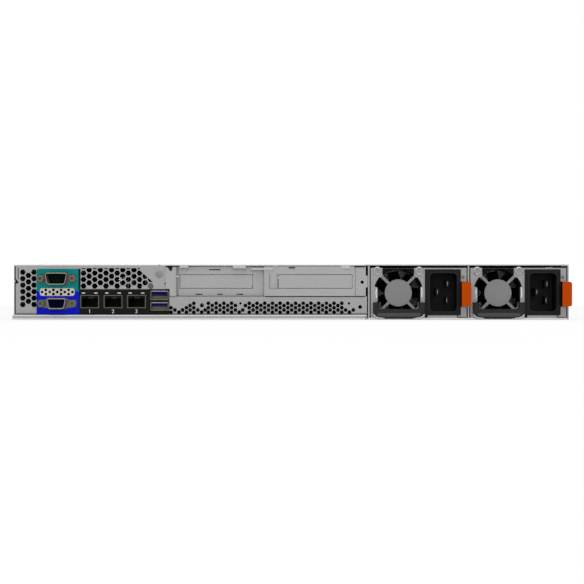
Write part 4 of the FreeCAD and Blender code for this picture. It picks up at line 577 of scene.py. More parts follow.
# Painted shade: the blades are darkened to the shade of the inlet's cavity.
BLADE_METAL_SHADED = Plated("blade_in_painted_shade", linear(32, 32, 32), 0.55, 0.05, gloss=0.06)
# Near-black for painted shade round the vent holes and at the fan mouths, and for the dark strips
# and seams of the supplies.
NEAR_BLACK_SHADE_AND_STRIPS = Moulded("near_black_painted_shade_and_strips", linear(3, 3, 4), 0.7, gloss=0.02)
# Painted highlight: the thin lit line at each blade's end.
BLADE_END_HIGHLIGHT = Plated("blade_end_highlight", linear(138, 138, 138), 0.35, 0.6)
# Painted highlight: a lighter copy of the inlet moulding for the lip's edge.
INLET_EDGE_HIGHLIGHT = Moulded("inlet_lip_highlight_moulding", linear(28, 28, 29), 0.5, gloss=0.12)
HANDLE_DARK = Moulded("handle_moulding", linear(36, 36, 37), 0.55, gloss=0.12)
HANDLE_GREY = Moulded("grey_moulding", linear(70, 70, 72), 0.55, gloss=0.15)
LAMP_GREEN = Glow("green_window", linear(40, 150, 60), 0.3)
LAMP_AMBER = Glow("amber_window", linear(190, 120, 20), 0.3)

SLOT_FINISHES = {"galvanised_steel": STEEL, "painted_black_steel": BLACK_COAT,
                 "label_teal_blue": LABEL_PORT, "label_black": LABEL_IO, "nickel_shell": SHELL,
                 "black_plastic": BLACK_PLASTIC, "orange_plastic": ORANGE_PLASTIC,
                 "green_board": BOARD, "bare_aluminium": ALUMINIUM, "brass_post": BRASS,
                 "plated_screw": SCREW, "drive_metal": DRIVE_CAST}
SUPPLY_FINISHES = {"psu_case": STEEL_CASE, "psu_fan_guard": STEEL_GUARD,
                   "power_inlet": INLET_PLASTIC, "psu_fan_frame": FAN_PLASTIC_SHADED,
                   "psu_fan_rotor": ROTOR_PLASTIC_SHADED}
NODE_FINISHES = {"psu_cage": STEEL, "rear_panel": STEEL_PANEL, "usb_ports": USB_SHELL,
                 "network_jacks": JACK_SHELL, "board_standoffs": BRASS_POST_SHADED,
                 "top_cover": STEEL_COVER, "front_cover": STEEL_COVER}
NODE_FINISHES |= {"%s_%d" % (stem, number): finish
                  for stem, finish in SUPPLY_FINISHES.items() for number in (1, 2)}


class Paintbox:
    """Makes each finish's material once and hands it out."""

    def __init__(self) -> None:
        """Starts with no material made."""
        self.made: dict[str, bpy.types.Material] = {}

    def get(self, finish: Finish) -> bpy.types.Material:
        """Returns the material of a finish."""
        if finish.name not in self.made:
            self.made[finish.name] = finish.make()
        return self.made[finish.name]


PAINTS = Paintbox()


def dress_nodes() -> None:
    """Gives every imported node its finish."""
    slots = {part["node"]: part["material_slot"] for part in frame["record"]["subparts"]}
    for name, piece in frame["nodes"].items():
        finish = NODE_FINISHES.get(name) or SLOT_FINISHES[slots[name]]
        piece.data.materials.clear()
        piece.data.materials.append(PAINTS.get(finish))
        LOG.info("node %s: %s", name, finish.name)


# ------------------------------------------------------------------ studio


@dataclass
class Studio:
    """Pale floor and backdrop, soft lamps and the camera."""

    distance: float = 1.3
    field_width: float = 0.4559
    aim_x: float = 0.0005
    aim_z: float = 0.0215
    sensor: float = 0.036
    world_strength: float = 0.62
    shadow_share: float = 0.25
    drop: float = 0.0004
    half_width: float = 3.5
    floor_front: float = -3.2
    rise_start: float = 2.4
    rise_radius: float = 0.9
    rise_top: float = 3.4
    fade: Pair = (0.9, 0.8)
    clip: Pair = (0.05, 20.0)
    lamps: list[tuple[str, Point, Point, float, float]] = field(default_factory=lambda: [
        ("overhead_softbox", (0.0, -0.9, 2.2), (0.0, -0.30, 0.0), 2.4, 24.0),
        ("rear_softbox", (0.0, -3.4, 0.9), (0.0, -0.35, 0.02), 2.6, 34.0),
    ])

    def build(self) -> None:
        """Makes the studio."""
        self.floor()
        self.world()
        for name, place, target, side, power in self.lamps:
            self.lamp(name, Vector(place), Vector(target), side, power)
        self.camera()

    def floor(self) -> None:
        """Makes the floor with a curved rise behind the object."""
        mesh = bmesh.new()
        radius = self.rise_radius
        angles = [k * math.pi / 24 for k in range(13)]
        rise = [(self.rise_start + radius * math.sin(a), radius - radius * math.cos(a) - self.drop)
                for a in angles]
        profile = [(self.floor_front, -self.drop), *rise, (self.rise_start + radius, self.rise_top)]
        rails = [[mesh.verts.new((x, y, z)) for y, z in profile]
                 for x in (-self.half_width, self.half_width)]
        for i in range(len(profile) - 1):
            mesh.faces.new((rails[0][i], rails[0][i + 1], rails[1][i + 1], rails[1][i]))
        bmesh.ops.recalc_face_normals(mesh, faces=mesh.faces)
        floor = link_mesh("floor", mesh, None)
        material = bpy.data.materials.new("pale_floor")
        graph = Graph.emptied(material)
        ray = self.background_ray(graph)
        behind = graph.axis("Y").step(*self.fade)
        cloud = graph.noise(6.0)
        pale = graph.tint(cloud, linear(240, 240, 240), linear(246, 246, 246))
        paper = graph.value("ShaderNodeBsdfDiffuse", {"Color": pale})
        white = graph.value("ShaderNodeEmission", {"Color": WHITE, "Strength": 1.0})
        share = ray * (1 - self.shadow_share * (1 - behind))
        mixed = graph.value("ShaderNodeMixShader", {0: share, 1: paper, 2: white})
        graph.node("ShaderNodeOutputMaterial", {"Surface": mixed})
        floor.data.materials.append(material)

    def background_ray(self, graph: Graph) -> Sock:
        """Returns 1 where the camera, or gloss or glass, looks at the background."""
        path = graph.node("ShaderNodeLightPath")
        camera, gloss, through = (Sock(graph, path.outputs["Is %s Ray" % kind])
                                  for kind in ("Camera", "Glossy", "Transmission"))
        return (camera + gloss + through).math("MINIMUM", 1.0)

    def world(self) -> None:
        """Makes the plain surroundings, white to the camera and to gloss."""
        world = bpy.data.worlds.new("surroundings")
        bpy.context.scene.world = world
        graph = Graph.emptied(world)
        camera = self.background_ray(graph)
        strength = camera * (1 - self.world_strength) + self.world_strength
        shine = graph.value("ShaderNodeBackground", {"Color": WHITE, "Strength": strength})
        graph.node("ShaderNodeOutputWorld", {"Surface": shine})

    def lamp(self, name: str, place: Vector, target: Vector, side: float, power: float) -> None:
        """Adds a square soft lamp that points at a target."""
        data = bpy.data.lights.new(name, "AREA")
        data.energy = power
        data.size = side
        lamp = linked(name, data)
        lamp.location = place
        lamp.rotation_euler = (target - place).to_track_quat("-Z", "Y").to_euler()

    def camera(self) -> None:
        """Places the camera square behind the rear panel."""
        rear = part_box("rear_panel")[0].y
        data = bpy.data.cameras.new("camera")
        data.sensor_width = self.sensor / MM
        data.lens = self.sensor / MM * self.distance / self.field_width
        data.clip_start, data.clip_end = self.clip
        camera = linked("camera", data)
        camera.location = (self.aim_x, rear - self.distance, self.aim_z)
        camera.rotation_euler = (math.pi / 2, 0, 0)
        bpy.context.scene.camera = camera


# ------------------------------------------------------------------ mesh makers


class Facing(Enum):
    """The way that a small shape's own +Z points once it is in place."""

    REAR = (0, -1, 0)
    FRONT = (0, 1, 0)
    UP = (0, 0, 1)
    LEFT = (-1, 0, 0)
    RIGHT = (1, 0, 0)

    def matrix(self) -> Matrix:
        """Returns the turn from +Z to this way, keeping the shape's +Y upright where it can."""
        ahead = Vector(self.value)
        up = Vector((0, 1, 0)) if abs(ahead.z) > 0.5 else Vector((0, 0, 1))
        side = up.cross(ahead)
        return Matrix((side, up, ahead)).transposed().to_4x4()


def link_mesh(name: str, mesh: Shape, finish: Finish | None) -> Piece:
    """Makes a linked object from a bmesh.

    Args:
        name: The piece's name.
        mesh: The bmesh, which is freed.
        finish: Its finish, or None.

    Returns:
        The new object at the origin.
    """
    data = bpy.data.meshes.new(name)
    mesh.to_mesh(data)
    mesh.free()
    data.shade_smooth()
    data.set_sharp_from_angle(angle=SMOOTH_ANGLE)
    if finish:
        data.materials.append(PAINTS.get(finish))
    return linked(name, data)


def set_down(mesh: Shape, at: Point = (0, 0, 0), facing: Facing = Facing.REAR) -> Shape:
    """Turns a shape to face a way and moves it to a point in millimetres."""
    move = Matrix.Translation(millimetres(*at)) @ facing.matrix()
    bmesh.ops.transform(mesh, matrix=move, verts=mesh.verts)
    return mesh


def block(width: float, height: float, depth: float, edge: float, at: Point = (0, 0, 0),
          facing: Facing = Facing.REAR, segments: int = 2) -> Shape:
    """Makes a block with rolled edges and sets it down.

    Args:
        width: Its width in millimetres, seen from the way that it faces.
        height: Its height in millimetres.
        depth: Its size along the facing.
        edge: Radius of the rolled edges.
        at: Middle of its base in millimetres.
        facing: The way that its depth points.
        segments: Faces across each rolled edge.

    Returns:
        The block as a bmesh.
    """
    mesh = bmesh.new()
    bmesh.ops.create_cube(mesh, size=1)
    size = Matrix.Diagonal((width * MM, height * MM, depth * MM, 1))
    bmesh.ops.transform(mesh, matrix=size @ Matrix.Translation((0, 0, 0.5)), verts=mesh.verts)
    bmesh.ops.bevel(mesh, geom=list(mesh.edges), offset=edge * MM, segments=segments,
                    affect="EDGES")
    return set_down(mesh, at, facing)


def turned(profile: list[Pair], sides: int = 24) -> Shape:
    """Makes a turned shape about +Z.

    Args:
        profile: Radius and height pairs in millimetres, from the bottom to the top.
        sides: Faces round the shape.

    Returns:
        The closed shape as a bmesh.
    """
    mesh = bmesh.new()
    rings = []
    for radius, height in profile:
        angles = [FULL_TURN * k / sides for k in range(sides if radius > 0 else 1)]
        places = [(radius * math.cos(a), radius * math.sin(a), height) for a in angles]
        rings.append([mesh.verts.new(millimetres(*place)) for place in places])
    for low, high in zip(rings, rings[1:]):
        for k in range(sides):
            after = k + 1
            corners = [low[k % len(low)], low[after % len(low)],
                       high[after % len(high)], high[k % len(high)]]
            unique = list(dict.fromkeys(corners))
            if len(unique) > 2:
                mesh.faces.new(unique)
    for end in (rings[0], rings[-1]):
        if len(end) > 1:
            mesh.faces.new(end)
    bmesh.ops.recalc_face_normals(mesh, faces=mesh.faces)
    return mesh


def slab(outline: list[Pair], depth: float, edge: float = 0.0,
         hole: list[Pair] | None = None) -> Shape:
    """Makes a flat piece from an outline, with its depth along +Z.

    Args:
        outline: Corners in millimetres, counter-clockwise.
        depth: Thickness in millimetres.
        edge: Radius of the rolled front edge, or 0.
        hole: Corners of a hole with as many points as the outline, or None.

    Returns:
        The slab as a bmesh.
    """
    mesh = bmesh.new()
    outer = [mesh.verts.new(millimetres(x, y, 0)) for x, y in outline]
    if hole is None:
        faces = [mesh.faces.new(outer)]
    else:
        inner = [mesh.verts.new(millimetres(x, y, 0)) for x, y in hole]
        sides = zip(outer, outer[1:] + outer[:1], inner[1:] + inner[:1], inner)
        faces = [mesh.faces.new(corners) for corners in sides]
    raised = bmesh.ops.extrude_face_region(mesh, geom=faces)
    tops = [item for item in raised["geom"] if isinstance(item, bmesh.types.BMVert)]
    bmesh.ops.translate(mesh, verts=tops, vec=millimetres(0, 0, depth))
    bmesh.ops.recalc_face_normals(mesh, faces=mesh.faces)
    if edge > 0:
        level = depth * MM
        rims = [e for e in mesh.edges if all(abs(v.co.z - level) < TOUCH for v in e.verts)
                and len(e.link_faces) == 2 and abs(e.calc_face_angle(0)) > CORNER_ANGLE]
        bmesh.ops.bevel(mesh, geom=rims, offset=edge * MM, segments=2, affect="EDGES")
    return mesh


def rounded_outline(width: float, height: float, radius: float, steps: int = 4) -> list[Pair]:
    """Returns the corners of a rounded rectangle round the origin, in millimetres."""
    corners = []
    for index, (sx, sy) in enumerate(((1, 1), (-1, 1), (-1, -1), (1, -1))):
        start = math.pi / 2 * index
        for k in range(steps + 1):
            angle = start + math.pi / 2 * k / steps
            corners.append((sx * (width / 2 - radius) + radius * math.cos(angle),
                            sy * (height / 2 - radius) + radius * math.sin(angle)))
    return corners


def d_outline(width: float, height: float, lean: float, radius: float) -> list[Pair]:
    """Returns a D connector's outline: a rounded rectangle whose lower side is shorter."""
    return [(x * (1 - lean * (0.5 - y / height) * 2 / width), y)
            for x, y in rounded_outline(width, height, radius)]


def arc(radius: float, start: float, end: float, steps: int) -> list[Pair]:
    """Returns the points of an arc round the origin, from and to angles in degrees."""
    angles = [math.radians(start + (end - start) * k / steps) for k in range(steps + 1)]
    return [(radius * math.cos(a), radius * math.sin(a)) for a in angles]


def ring(radius: float, count: int) -> list[Pair]:
    """Returns evenly spaced corners round the origin, the first on +X."""
    return arc(radius, 0, 360 * (count - 1) / count, count - 1)


def mirrored(outline: list[Pair]) -> list[Pair]:
    """Returns an outline's points on the other side of the Y axis, in reverse order."""
    return [(-x, y) for x, y in reversed(outline)]


def upright(outline: list[Pair], at: Point) -> list[Point]:
    """Returns an outline stood upright, seen from the rear, round a point."""
    return [(at[0] + across, at[1], at[2] + up) for across, up in outline]


def together(*meshes: Shape) -> Shape:
    """Joins bmeshes into the first, and frees the others."""
    first = meshes[0]
    for other in meshes[1:]:
        data = bpy.data.meshes.new("joining")
        other.to_mesh(data)
        other.free()
        first.from_mesh(data)
        bpy.data.meshes.remove(data)
    return first


# ------------------------------------------------------------------ geometry node recipes


class Recipe:
    """A Geometry Nodes tree with named inputs, run to give a plain mesh."""

    def __init__(self, name: str, inputs: dict[str, str]) -> None:
        """Makes the tree with its inputs.

        Args:
            name: The tree's name.
            inputs: The type of each named input.
        """
        self.tree = bpy.data.node_groups.new(name, "GeometryNodeTree")
        face = self.tree.interface
        made = {label: face.new_socket(name=label, in_out="INPUT", socket_type=kind)
                for label, kind in inputs.items()}
        self.sockets = {label: socket.identifier for label, socket in made.items()}
        face.new_socket(name="Geometry", in_out="OUTPUT", socket_type="NodeSocketGeometry")
        self.graph = Graph(self.tree)
        self.entry = self.tree.nodes.new("NodeGroupInput")

    def take(self, label: str) -> Sock:
        """Returns one of the named inputs."""
        return Sock(self.graph, self.entry.outputs[label])

    def close(self, geometry: Sock) -> None:
        """Ends the tree in Realize Instances and Set Material."""
        real = self.graph.value("GeometryNodeRealizeInstances", {"Geometry": geometry})
        painted = self.graph.value("GeometryNodeSetMaterial",
                                   {"Geometry": real, "Material": self.take("Material")})
        self.graph.node("NodeGroupOutput", {"Geometry": painted})

    def run(self, name: str, values: dict, base: bpy.types.Mesh | None = None) -> Piece:
        """Runs the recipe.

        Args:
            name: The piece's name.
            values: A value for each named input.
            base: The mesh that the tree starts from, or None.

        Returns:
            An object with the result as its own plain mesh.
        """
        host = linked(name, base or bpy.data.meshes.new(name))
        modifier = host.modifiers.new("recipe", "NODES")
        modifier.node_group = self.tree
        for label, value in values.items():
            modifier[self.sockets[label]] = value
        data = baked(host)
        host.modifiers.clear()
        host.data = data
        data.name = name
        return host


def lattice_recipe() -> Recipe:
    """Makes the tree that sets out one shape in rows and columns.

    Returns:
        The recipe.
    """
    recipe = Recipe("rows_and_columns", {
        "Shape": "NodeSocketObject", "Columns": "NodeSocketInt", "Rows": "NodeSocketInt",
        "Start": "NodeSocketVector", "Across": "NodeSocketVector", "Up": "NodeSocketVector",
        "Stagger": "NodeSocketVector", "Material": "NodeSocketMaterial"})
    graph = recipe.graph
    columns, rows = recipe.take("Columns"), recipe.take("Rows")
    index = graph.value("GeometryNodeInputIndex")
    row = (index / columns + 0.001).math("FLOOR")
    column = index - row * columns
    place = (recipe.take("Start") + recipe.take("Across") * column + recipe.take("Up") * row
             + recipe.take("Stagger") * (row % 2))
    points = graph.value("GeometryNodePoints", {"Count": columns * rows, "Position": place})
    shape = graph.value("GeometryNodeObjectInfo", {"Object": recipe.take("Shape")}, out="Geometry")
    placed = graph.value("GeometryNodeInstanceOnPoints", {"Points": points, "Instance": shape})
    recipe.close(placed)
    return recipe


def wire_recipe() -> Recipe:
    """Makes the tree that runs a round wire along the edges of a mesh.

    Returns:
        The recipe.
    """
    recipe = Recipe("wire_on_path", {
        "Path": "NodeSocketGeometry", "Radius": "NodeSocketFloat", "Sides": "NodeSocketInt",
        "Material": "NodeSocketMaterial"})
    graph = recipe.graph
    curve = graph.value("GeometryNodeMeshToCurve", {"Mesh": recipe.take("Path")})
    size = {"Resolution": recipe.take("Sides"), "Radius": recipe.take("Radius")}
    circle = graph.value("GeometryNodeCurvePrimitiveCircle", size, mode="RADIUS")
    tube = graph.value("GeometryNodeCurveToMesh",
                       {"Curve": curve, "Profile Curve": circle, "Fill Caps": True})
    recipe.close(tube)
    return recipe


LATTICE = lattice_recipe()
WIRE = wire_recipe()


def set_out(name: str, shape: Shape, finish: Finish, start: Point, across: Point = (0, 0, 0),
            columns: int = 1, up: Point = (0, 0, 0), rows: int = 1,
            stagger: Point = (0, 0, 0)) -> Piece:
    """Sets out copies of one small shape in rows and columns.

    Args:
        name: The piece's name.
        shape: The small shape, already turned to its facing.
        finish: Its finish.
        start: Place of the first copy in millimetres.
        across: Step from a column to the next.
        columns: How many columns.
        up: Step from a row to the next.
        rows: How many rows.
        stagger: Shift of every second row.

    Returns:
        One plain mesh object with all the copies.
    """
    master = link_mesh(name + "_master", shape, None)
    piece = LATTICE.run(name, {
        "Shape": master, "Columns": columns, "Rows": rows, "Start": millimetres(*start),
        "Across": millimetres(*across), "Up": millimetres(*up), "Stagger": millimetres(*stagger),
        "Material": PAINTS.get(finish)})
    bpy.data.objects.remove(master)
    piece.data.set_sharp_from_angle(angle=SMOOTH_ANGLE)
    return piece


def wire(name: str, paths: list[list[Point]], closed: bool, radius: float, finish: Finish,
         sides: int = 8) -> Piece:
    """Runs a round wire along paths given in millimetres.

    Args:
        name: The piece's name.
        paths: The points of each path.
        closed: Whether each path closes on itself.
        radius: The wire's radius in millimetres.
        finish: Its finish.
        sides: Faces round the wire.

    Returns:
        One plain mesh object.
    """
    base = bpy.data.meshes.new(name)
    points, edges = [], []
    for path in paths:
        first = len(points)
        points += [millimetres(*point) for point in path]
        edges += [(first + k, first + k + 1) for k in range(len(path) - 1)]
        if closed:
            edges.append((len(points) - 1, first))
    base.from_pydata(points, edges, [])
    piece = WIRE.run(name, {"Radius": radius * MM, "Sides": sides, "Material": PAINTS.get(finish)},
                     base)
    piece.data.shade_smooth()
    piece.data.set_sharp_from_angle(angle=EDGE_ANGLE)
    return piece


def numeral(name: str, text: str, at: Point, height: float, facing: Facing,
            finish: Finish) -> Piece:
    """Makes a plain printed number as a thin raised mesh.

    Args:
        name: The piece's name.
        text: The number.
        at: Its middle in millimetres.
        height: Height of the characters in millimetres.
        facing: The way that it faces.
        finish: Its finish.

    Returns:
        The number as a mesh object.
    """
    curve = bpy.data.curves.new(name, "FONT")
    curve.body = text
    curve.size = height * MM * FONT_SHARE
    curve.extrude = PRINT_DEPTH
    curve.align_x, curve.align_y = "CENTER", "CENTER"
    host = linked(name + "_text", curve)
    data = baked(host)
    bpy.data.objects.remove(host)
    data.transform(Matrix.Translation(millimetres(*at)) @ facing.matrix())
    data.materials.clear()
    data.materials.append(PAINTS.get(finish))
    return linked(name, data)


def carry(piece: Piece, body: str = "chassis") -> Piece:
    """Lets a finished piece ride on a body and reports it."""
    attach(piece, body)
    LOG.info("piece %s rides on %s, %d faces", piece.name, body, len(piece.data.polygons))
    return piece


def add(name: str, mesh: Shape, finish: Finish, body: str = "chassis") -> Piece:
    """Makes a piece from a bmesh, which is freed, and lets it ride on a body."""
    return carry(link_mesh(name, mesh, finish), body)


def add_rows(name: str, shape: Shape, finish: Finish, slot: str, start: Point,
             body: str = "chassis", **steps: Point | int) -> Piece:
    """Sets out copies of a shape as one piece and lets it ride; steps are those of set_out."""
    return carry(set_out(name, shape, finish, start, **steps), body)


def add_wire(name: str, paths: list[list[Point]], closed: bool, radius: float, finish: Finish,
             sides: int = 8) -> Piece:
    """Runs a wire along paths as one piece of the chassis."""
    return carry(wire(name, paths, closed, radius, finish, sides))


# ------------------------------------------------------------------ places


@dataclass(frozen=True)
class Span:
    """A node's box at rest, in millimetres."""

    low: Point
    high: Point

    @classmethod
    def of(cls, node: str) -> "Span":
        """Returns the box of a node."""
        low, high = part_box(node)
        return cls(tuple(c / MM for c in low), tuple(c / MM for c in high))

    def at(self, x: float = 0.5, y: float = 0.5, z: float = 0.5) -> Point:
        """Returns the point at the given shares of the box."""
        return tuple(a + (b - a) * s for a, b, s in zip(self.low, self.high, (x, y, z)))


def shifted(point: Point, x: float = 0.0, y: float = 0.0, z: float = 0.0) -> Point:
    """Returns a point moved by some millimetres."""
    return point[0] + x, point[1] + y, point[2] + z


@dataclass
class Numbered:
    """A sub-assembly that comes several times, each with its number in its pieces' names."""

    number: int
    home: ClassVar[str] = "chassis"

    def name(self, stem: str) -> str:
        """Returns a name with the number at its end."""
        return "%s_%d" % (stem, self.number)

    def ride(self, piece: Piece, slot: str, stem: str = "") -> Piece:
        """Lets a piece ride on this sub-assembly's own body or on one of its moving parts."""
        return carry(piece, self.name(stem or self.home))

    def add(self, stem: str, mesh: Shape, finish: Finish, slot: str, body: str = "") -> Piece:
        """Makes a numbered piece from a bmesh, which is freed, and lets it ride."""
        return self.ride(link_mesh(self.name(stem), mesh, finish), slot, body)

    def add_rows(self, stem: str, shape: Shape, finish: Finish, slot: str, start: Point,
                 body: str = "", **steps: Point | int) -> Piece:
        """Sets out copies of a shape as one numbered piece and lets it ride."""
        return self.ride(set_out(self.name(stem), shape, finish, start, **steps), slot, body)

    def add_wire(self, stem: str, paths: list[list[Point]], closed: bool, radius: float,
                 finish: Finish, slot: str, sides: int = 8, body: str = "") -> Piece:
        """Runs a wire along paths as one numbered piece and lets it ride."""
        return self.ride(wire(self.name(stem), paths, closed, radius, finish, sides), slot, body)


REAR_FACE = Span.of("io_label").high[1]
PLATE_FACE = Span.of("riser_bracket").low[1]


# ------------------------------------------------------------------ rear sheet


@dataclass
class RearSheet:
    """The rear sheet's hem bead and sill as painted highlights, tabs, rivet, vent plug, painted
    shadow lines, scores in painted shade and hook.
    """

    tabs: list[tuple[float, float, float, float]] = field(default_factory=lambda: [
        (-45.9, -35.3, 39.9, 42.1), (-31.5, -14.2, 38.7, 40.3), (-14.2, -10.4, 41.0, 42.0),
        (38.9, 46.1, 39.8, 42.0), (-87.5, -80.4, 40.2, 42.0)])
    score_marks: list[tuple[float, float, float, float]] = field(default_factory=lambda: [
        (0.45, 11.6, -16.9, 30.1), (6.4, 0.45, -13.8, 24.4), (0.4, 11.2, -10.9, 30.0)])
    notch: list[Pair] = field(default_factory=lambda: [
        (-4.4, 1.3), (-2.6, 0.7), (-1.6, -0.2), (-0.9, -1.7), (-0.1, -1.9), (0.2, 0.6), (1.2, 1.3),
        (4.6, 1.4), (4.6, 2.0), (-4.4, 2.0)])
    rivet_place: Pair = (-103.4, 35.4)
    plug_place: Pair = (-110.1, 26.1)
    hem_height: float = 3.2
    sill_height: float = 0.69

    def build(self) -> None:
        """Builds every detail and lets it ride on the chassis."""
        self.panel = Span.of("rear_panel")
        self.hem()
        self.sill()
        self.bent_tabs()
        self.rivet_head()
        self.vent_plug()
        self.gaskets()
        self.scores()
        self.side_seam()
        self.hook()

    def hem(self) -> None:
        """Makes a bright bead along the folded hem, a painted highlight."""
        y, z = self.panel.low[1] + 0.4, self.hem_height
        path = [(self.panel.low[0] + 0.4, y, z), (self.panel.high[0] - 2.0, y, z)]
        add_wire("hem_bead", [path], False, 0.3, STEEL_PALE_AND_HIGHLIGHT)

    def sill(self) -> None:
        """Makes a bright strip on the rolled edge of the floor under the supplies, a painted
        highlight.
        """
        left, right = self.panel.high[0] + 1.2, Span.of("chassis_tray").high[0] - 1.6
        strip = block(right - left, 0.96, 0.5, 0.1,
                      ((left + right) / 2, REAR_FACE + 0.3, self.sill_height))
        add("bay_sill", strip, STEEL_PALE_AND_HIGHLIGHT)

    def bent_tabs(self) -> None:
        """Makes the tabs bent out along the top edge of the slot plates, in a paler sheet as a
        painted highlight.
        """
        shapes = [block(right - left, high - low, 4.2, 0.5,
                        ((left + right) / 2, PLATE_FACE + 4.1, (low + high) / 2))
                  for left, right, low, high in self.tabs]
        add("slot_plate_tabs", together(*shapes), TAB_HIGHLIGHT_STEEL)

    def rivet_head(self) -> None:
        """Makes the low rivet head beside the slot plates."""
        x, z = self.rivet_place
        dome = turned([(3.0, 0), (3.0, 0.25), (2.55, 0.55), (1.2, 0.7), (0, 0.72)], 32)
        add("panel_rivets", set_down(dome, (x, REAR_FACE + 0.05, z)), STEEL_RIVET)

    def vent_plug(self) -> None:
        """Makes the dark plug that closes one hole of the vent."""
        x, z = self.plug_place
        plug = turned([(2.05, 0), (2.05, 0.6), (1.9, 0.78), (0.5, 0.82), (0, 0.82)], 32)
        add("vent_plug", set_down(plug, (x, REAR_FACE + 0.05, z)), PLUG_STEEL)

    def gaskets(self) -> None:
        """Makes thin black strips as painted shadow lines and dark marks round the slot plates."""
        strips = [block(78.4, 0.7, 0.5, 0.1, (18.6, REAR_FACE + 0.1, 18.05)),
                  block(4.9, 0.8, 0.4, 0.1, (0.4, PLATE_FACE + 0.2, 40.5)),
                  block(8.6, 0.9, 0.4, 0.1, (53.4, PLATE_FACE + 0.2, 41.4)),
                  set_down(slab(self.notch, 0.5, 0.1), (-93.7, PLATE_FACE + 0.3, 39.95)),
                  block(1.5, 15.8, 0.35, 0.1, (-165.75, REAR_FACE - 0.3, 31.8))]
        add("slot_plate_gaskets", together(*strips), SHADOW_LINE_AND_SEAM_BLACK)

    def scores(self) -> None:
        """Makes the scored outline of a tab in the slot plate, in a darker sheet as painted shade
        in the grooves.
        """
        scores = [block(width, height, 0.15, 0.05, (x, PLATE_FACE + 0.05, z), segments=1)
                  for width, height, x, z in self.score_marks]
        add("slot_plate_scores", together(*scores), STEEL_RIVET)

    def side_seam(self) -> None:
        """Makes the dark seam with its step along the panel's left edge."""
        left, y = self.panel.low[0] + 1.5, REAR_FACE + 0.1
        path = [(left, y, 42.0), (left, y, 31.4), (left + 1.8, y, 29.6), (left, y, 28.4),
                (left, y, 4.6)]
        add_wire("side_seam", [path], False, 0.36, SHADOW_LINE_AND_SEAM_BLACK, 6)

    def hook(self) -> None:
        """Makes the small hook of the blank's spring."""
        y = PLATE_FACE + 3.2
        path = [(-90.6, y, 31.2), (-90.8, y - 0.8, 32.4), (-90.2, y - 1.4, 33.6),
                (-89.0, y - 1.4, 33.9), (-88.5, y - 0.6, 33.0)]
        add_wire("blank_hook", [path], False, 0.5, STEEL_PALE_AND_HIGHLIGHT)


@dataclass
class VentRims:
    """Rings of painted shade round the small holes of the lower vent."""

    flats: float = 2.5
    # Width of the painted shade round each hole.
    burr: float = 0.17
    pitch: float = 3.482
    base: float = 5.7
    middle_start: float = -64.9
    low_start: float = -32.93
    loose_middle: dict[float, tuple[int, ...]] = field(default_factory=lambda: {
        -0.85: (1,), -1.75: (0,), -2.75: (1,), -3.8: (0, 2, 4), -4.75: (1, 3), -5.7: (0, 2),
        -6.7: (1,), -7.65: (0,), -8.7: (1,), -9.7: (0, 2)})
    loose_low: dict[float, tuple[int, ...]] = field(default_factory=lambda: {
        -2.6: (0,), -1.7: (1,), -1: (3,), 25: (1,), 26: (0,), 27: (1,)})

    def build(self) -> None:
        """Builds the shade rings of the regular rows, then those of the loose holes."""
        step = self.pitch * math.sqrt(3) / 2
        blocks = (("middle", self.middle_start, (4, 4)), ("low", self.low_start, (13, 12)))
        for label, start, columns in blocks:
            for grid, rows in ((0, 3), (1, 2)):
                first = (start + step * grid, REAR_FACE, self.base + self.pitch * grid / 2)
                add_rows("vent_rims_%s_%d" % (label, grid), self.rim(), NEAR_BLACK_SHADE_AND_STRIPS,
                         "galvanised_steel", first, across=(step * 2, 0, 0), columns=columns[grid],
                         up=(0, 0, self.pitch), rows=rows)
        loose = []
        for start, places in ((self.middle_start, self.loose_middle),
                              (self.low_start, self.loose_low)):
            for column, heights in places.items():
                for height in heights:
                    rim = self.rim()
                    move = millimetres(start + step * column, REAR_FACE,
                                       self.base + self.pitch / 2 * height)
                    bmesh.ops.translate(rim, verts=rim.verts, vec=move)
                    loose.append(rim)
        add("vent_rims_loose", together(*loose), NEAR_BLACK_SHADE_AND_STRIPS)

    def rim(self) -> Shape:
        """Makes one six-sided ring of painted shade that faces the rear."""
        outer, inner = (ring((self.flats / 2 + grow) / math.cos(math.pi / 6), 6)
                        for grow in (self.burr, -0.02))
        return set_down(slab(outer, 0.08, hole=inner), (0, 0.02, 0))


# ------------------------------------------------------------------ ports


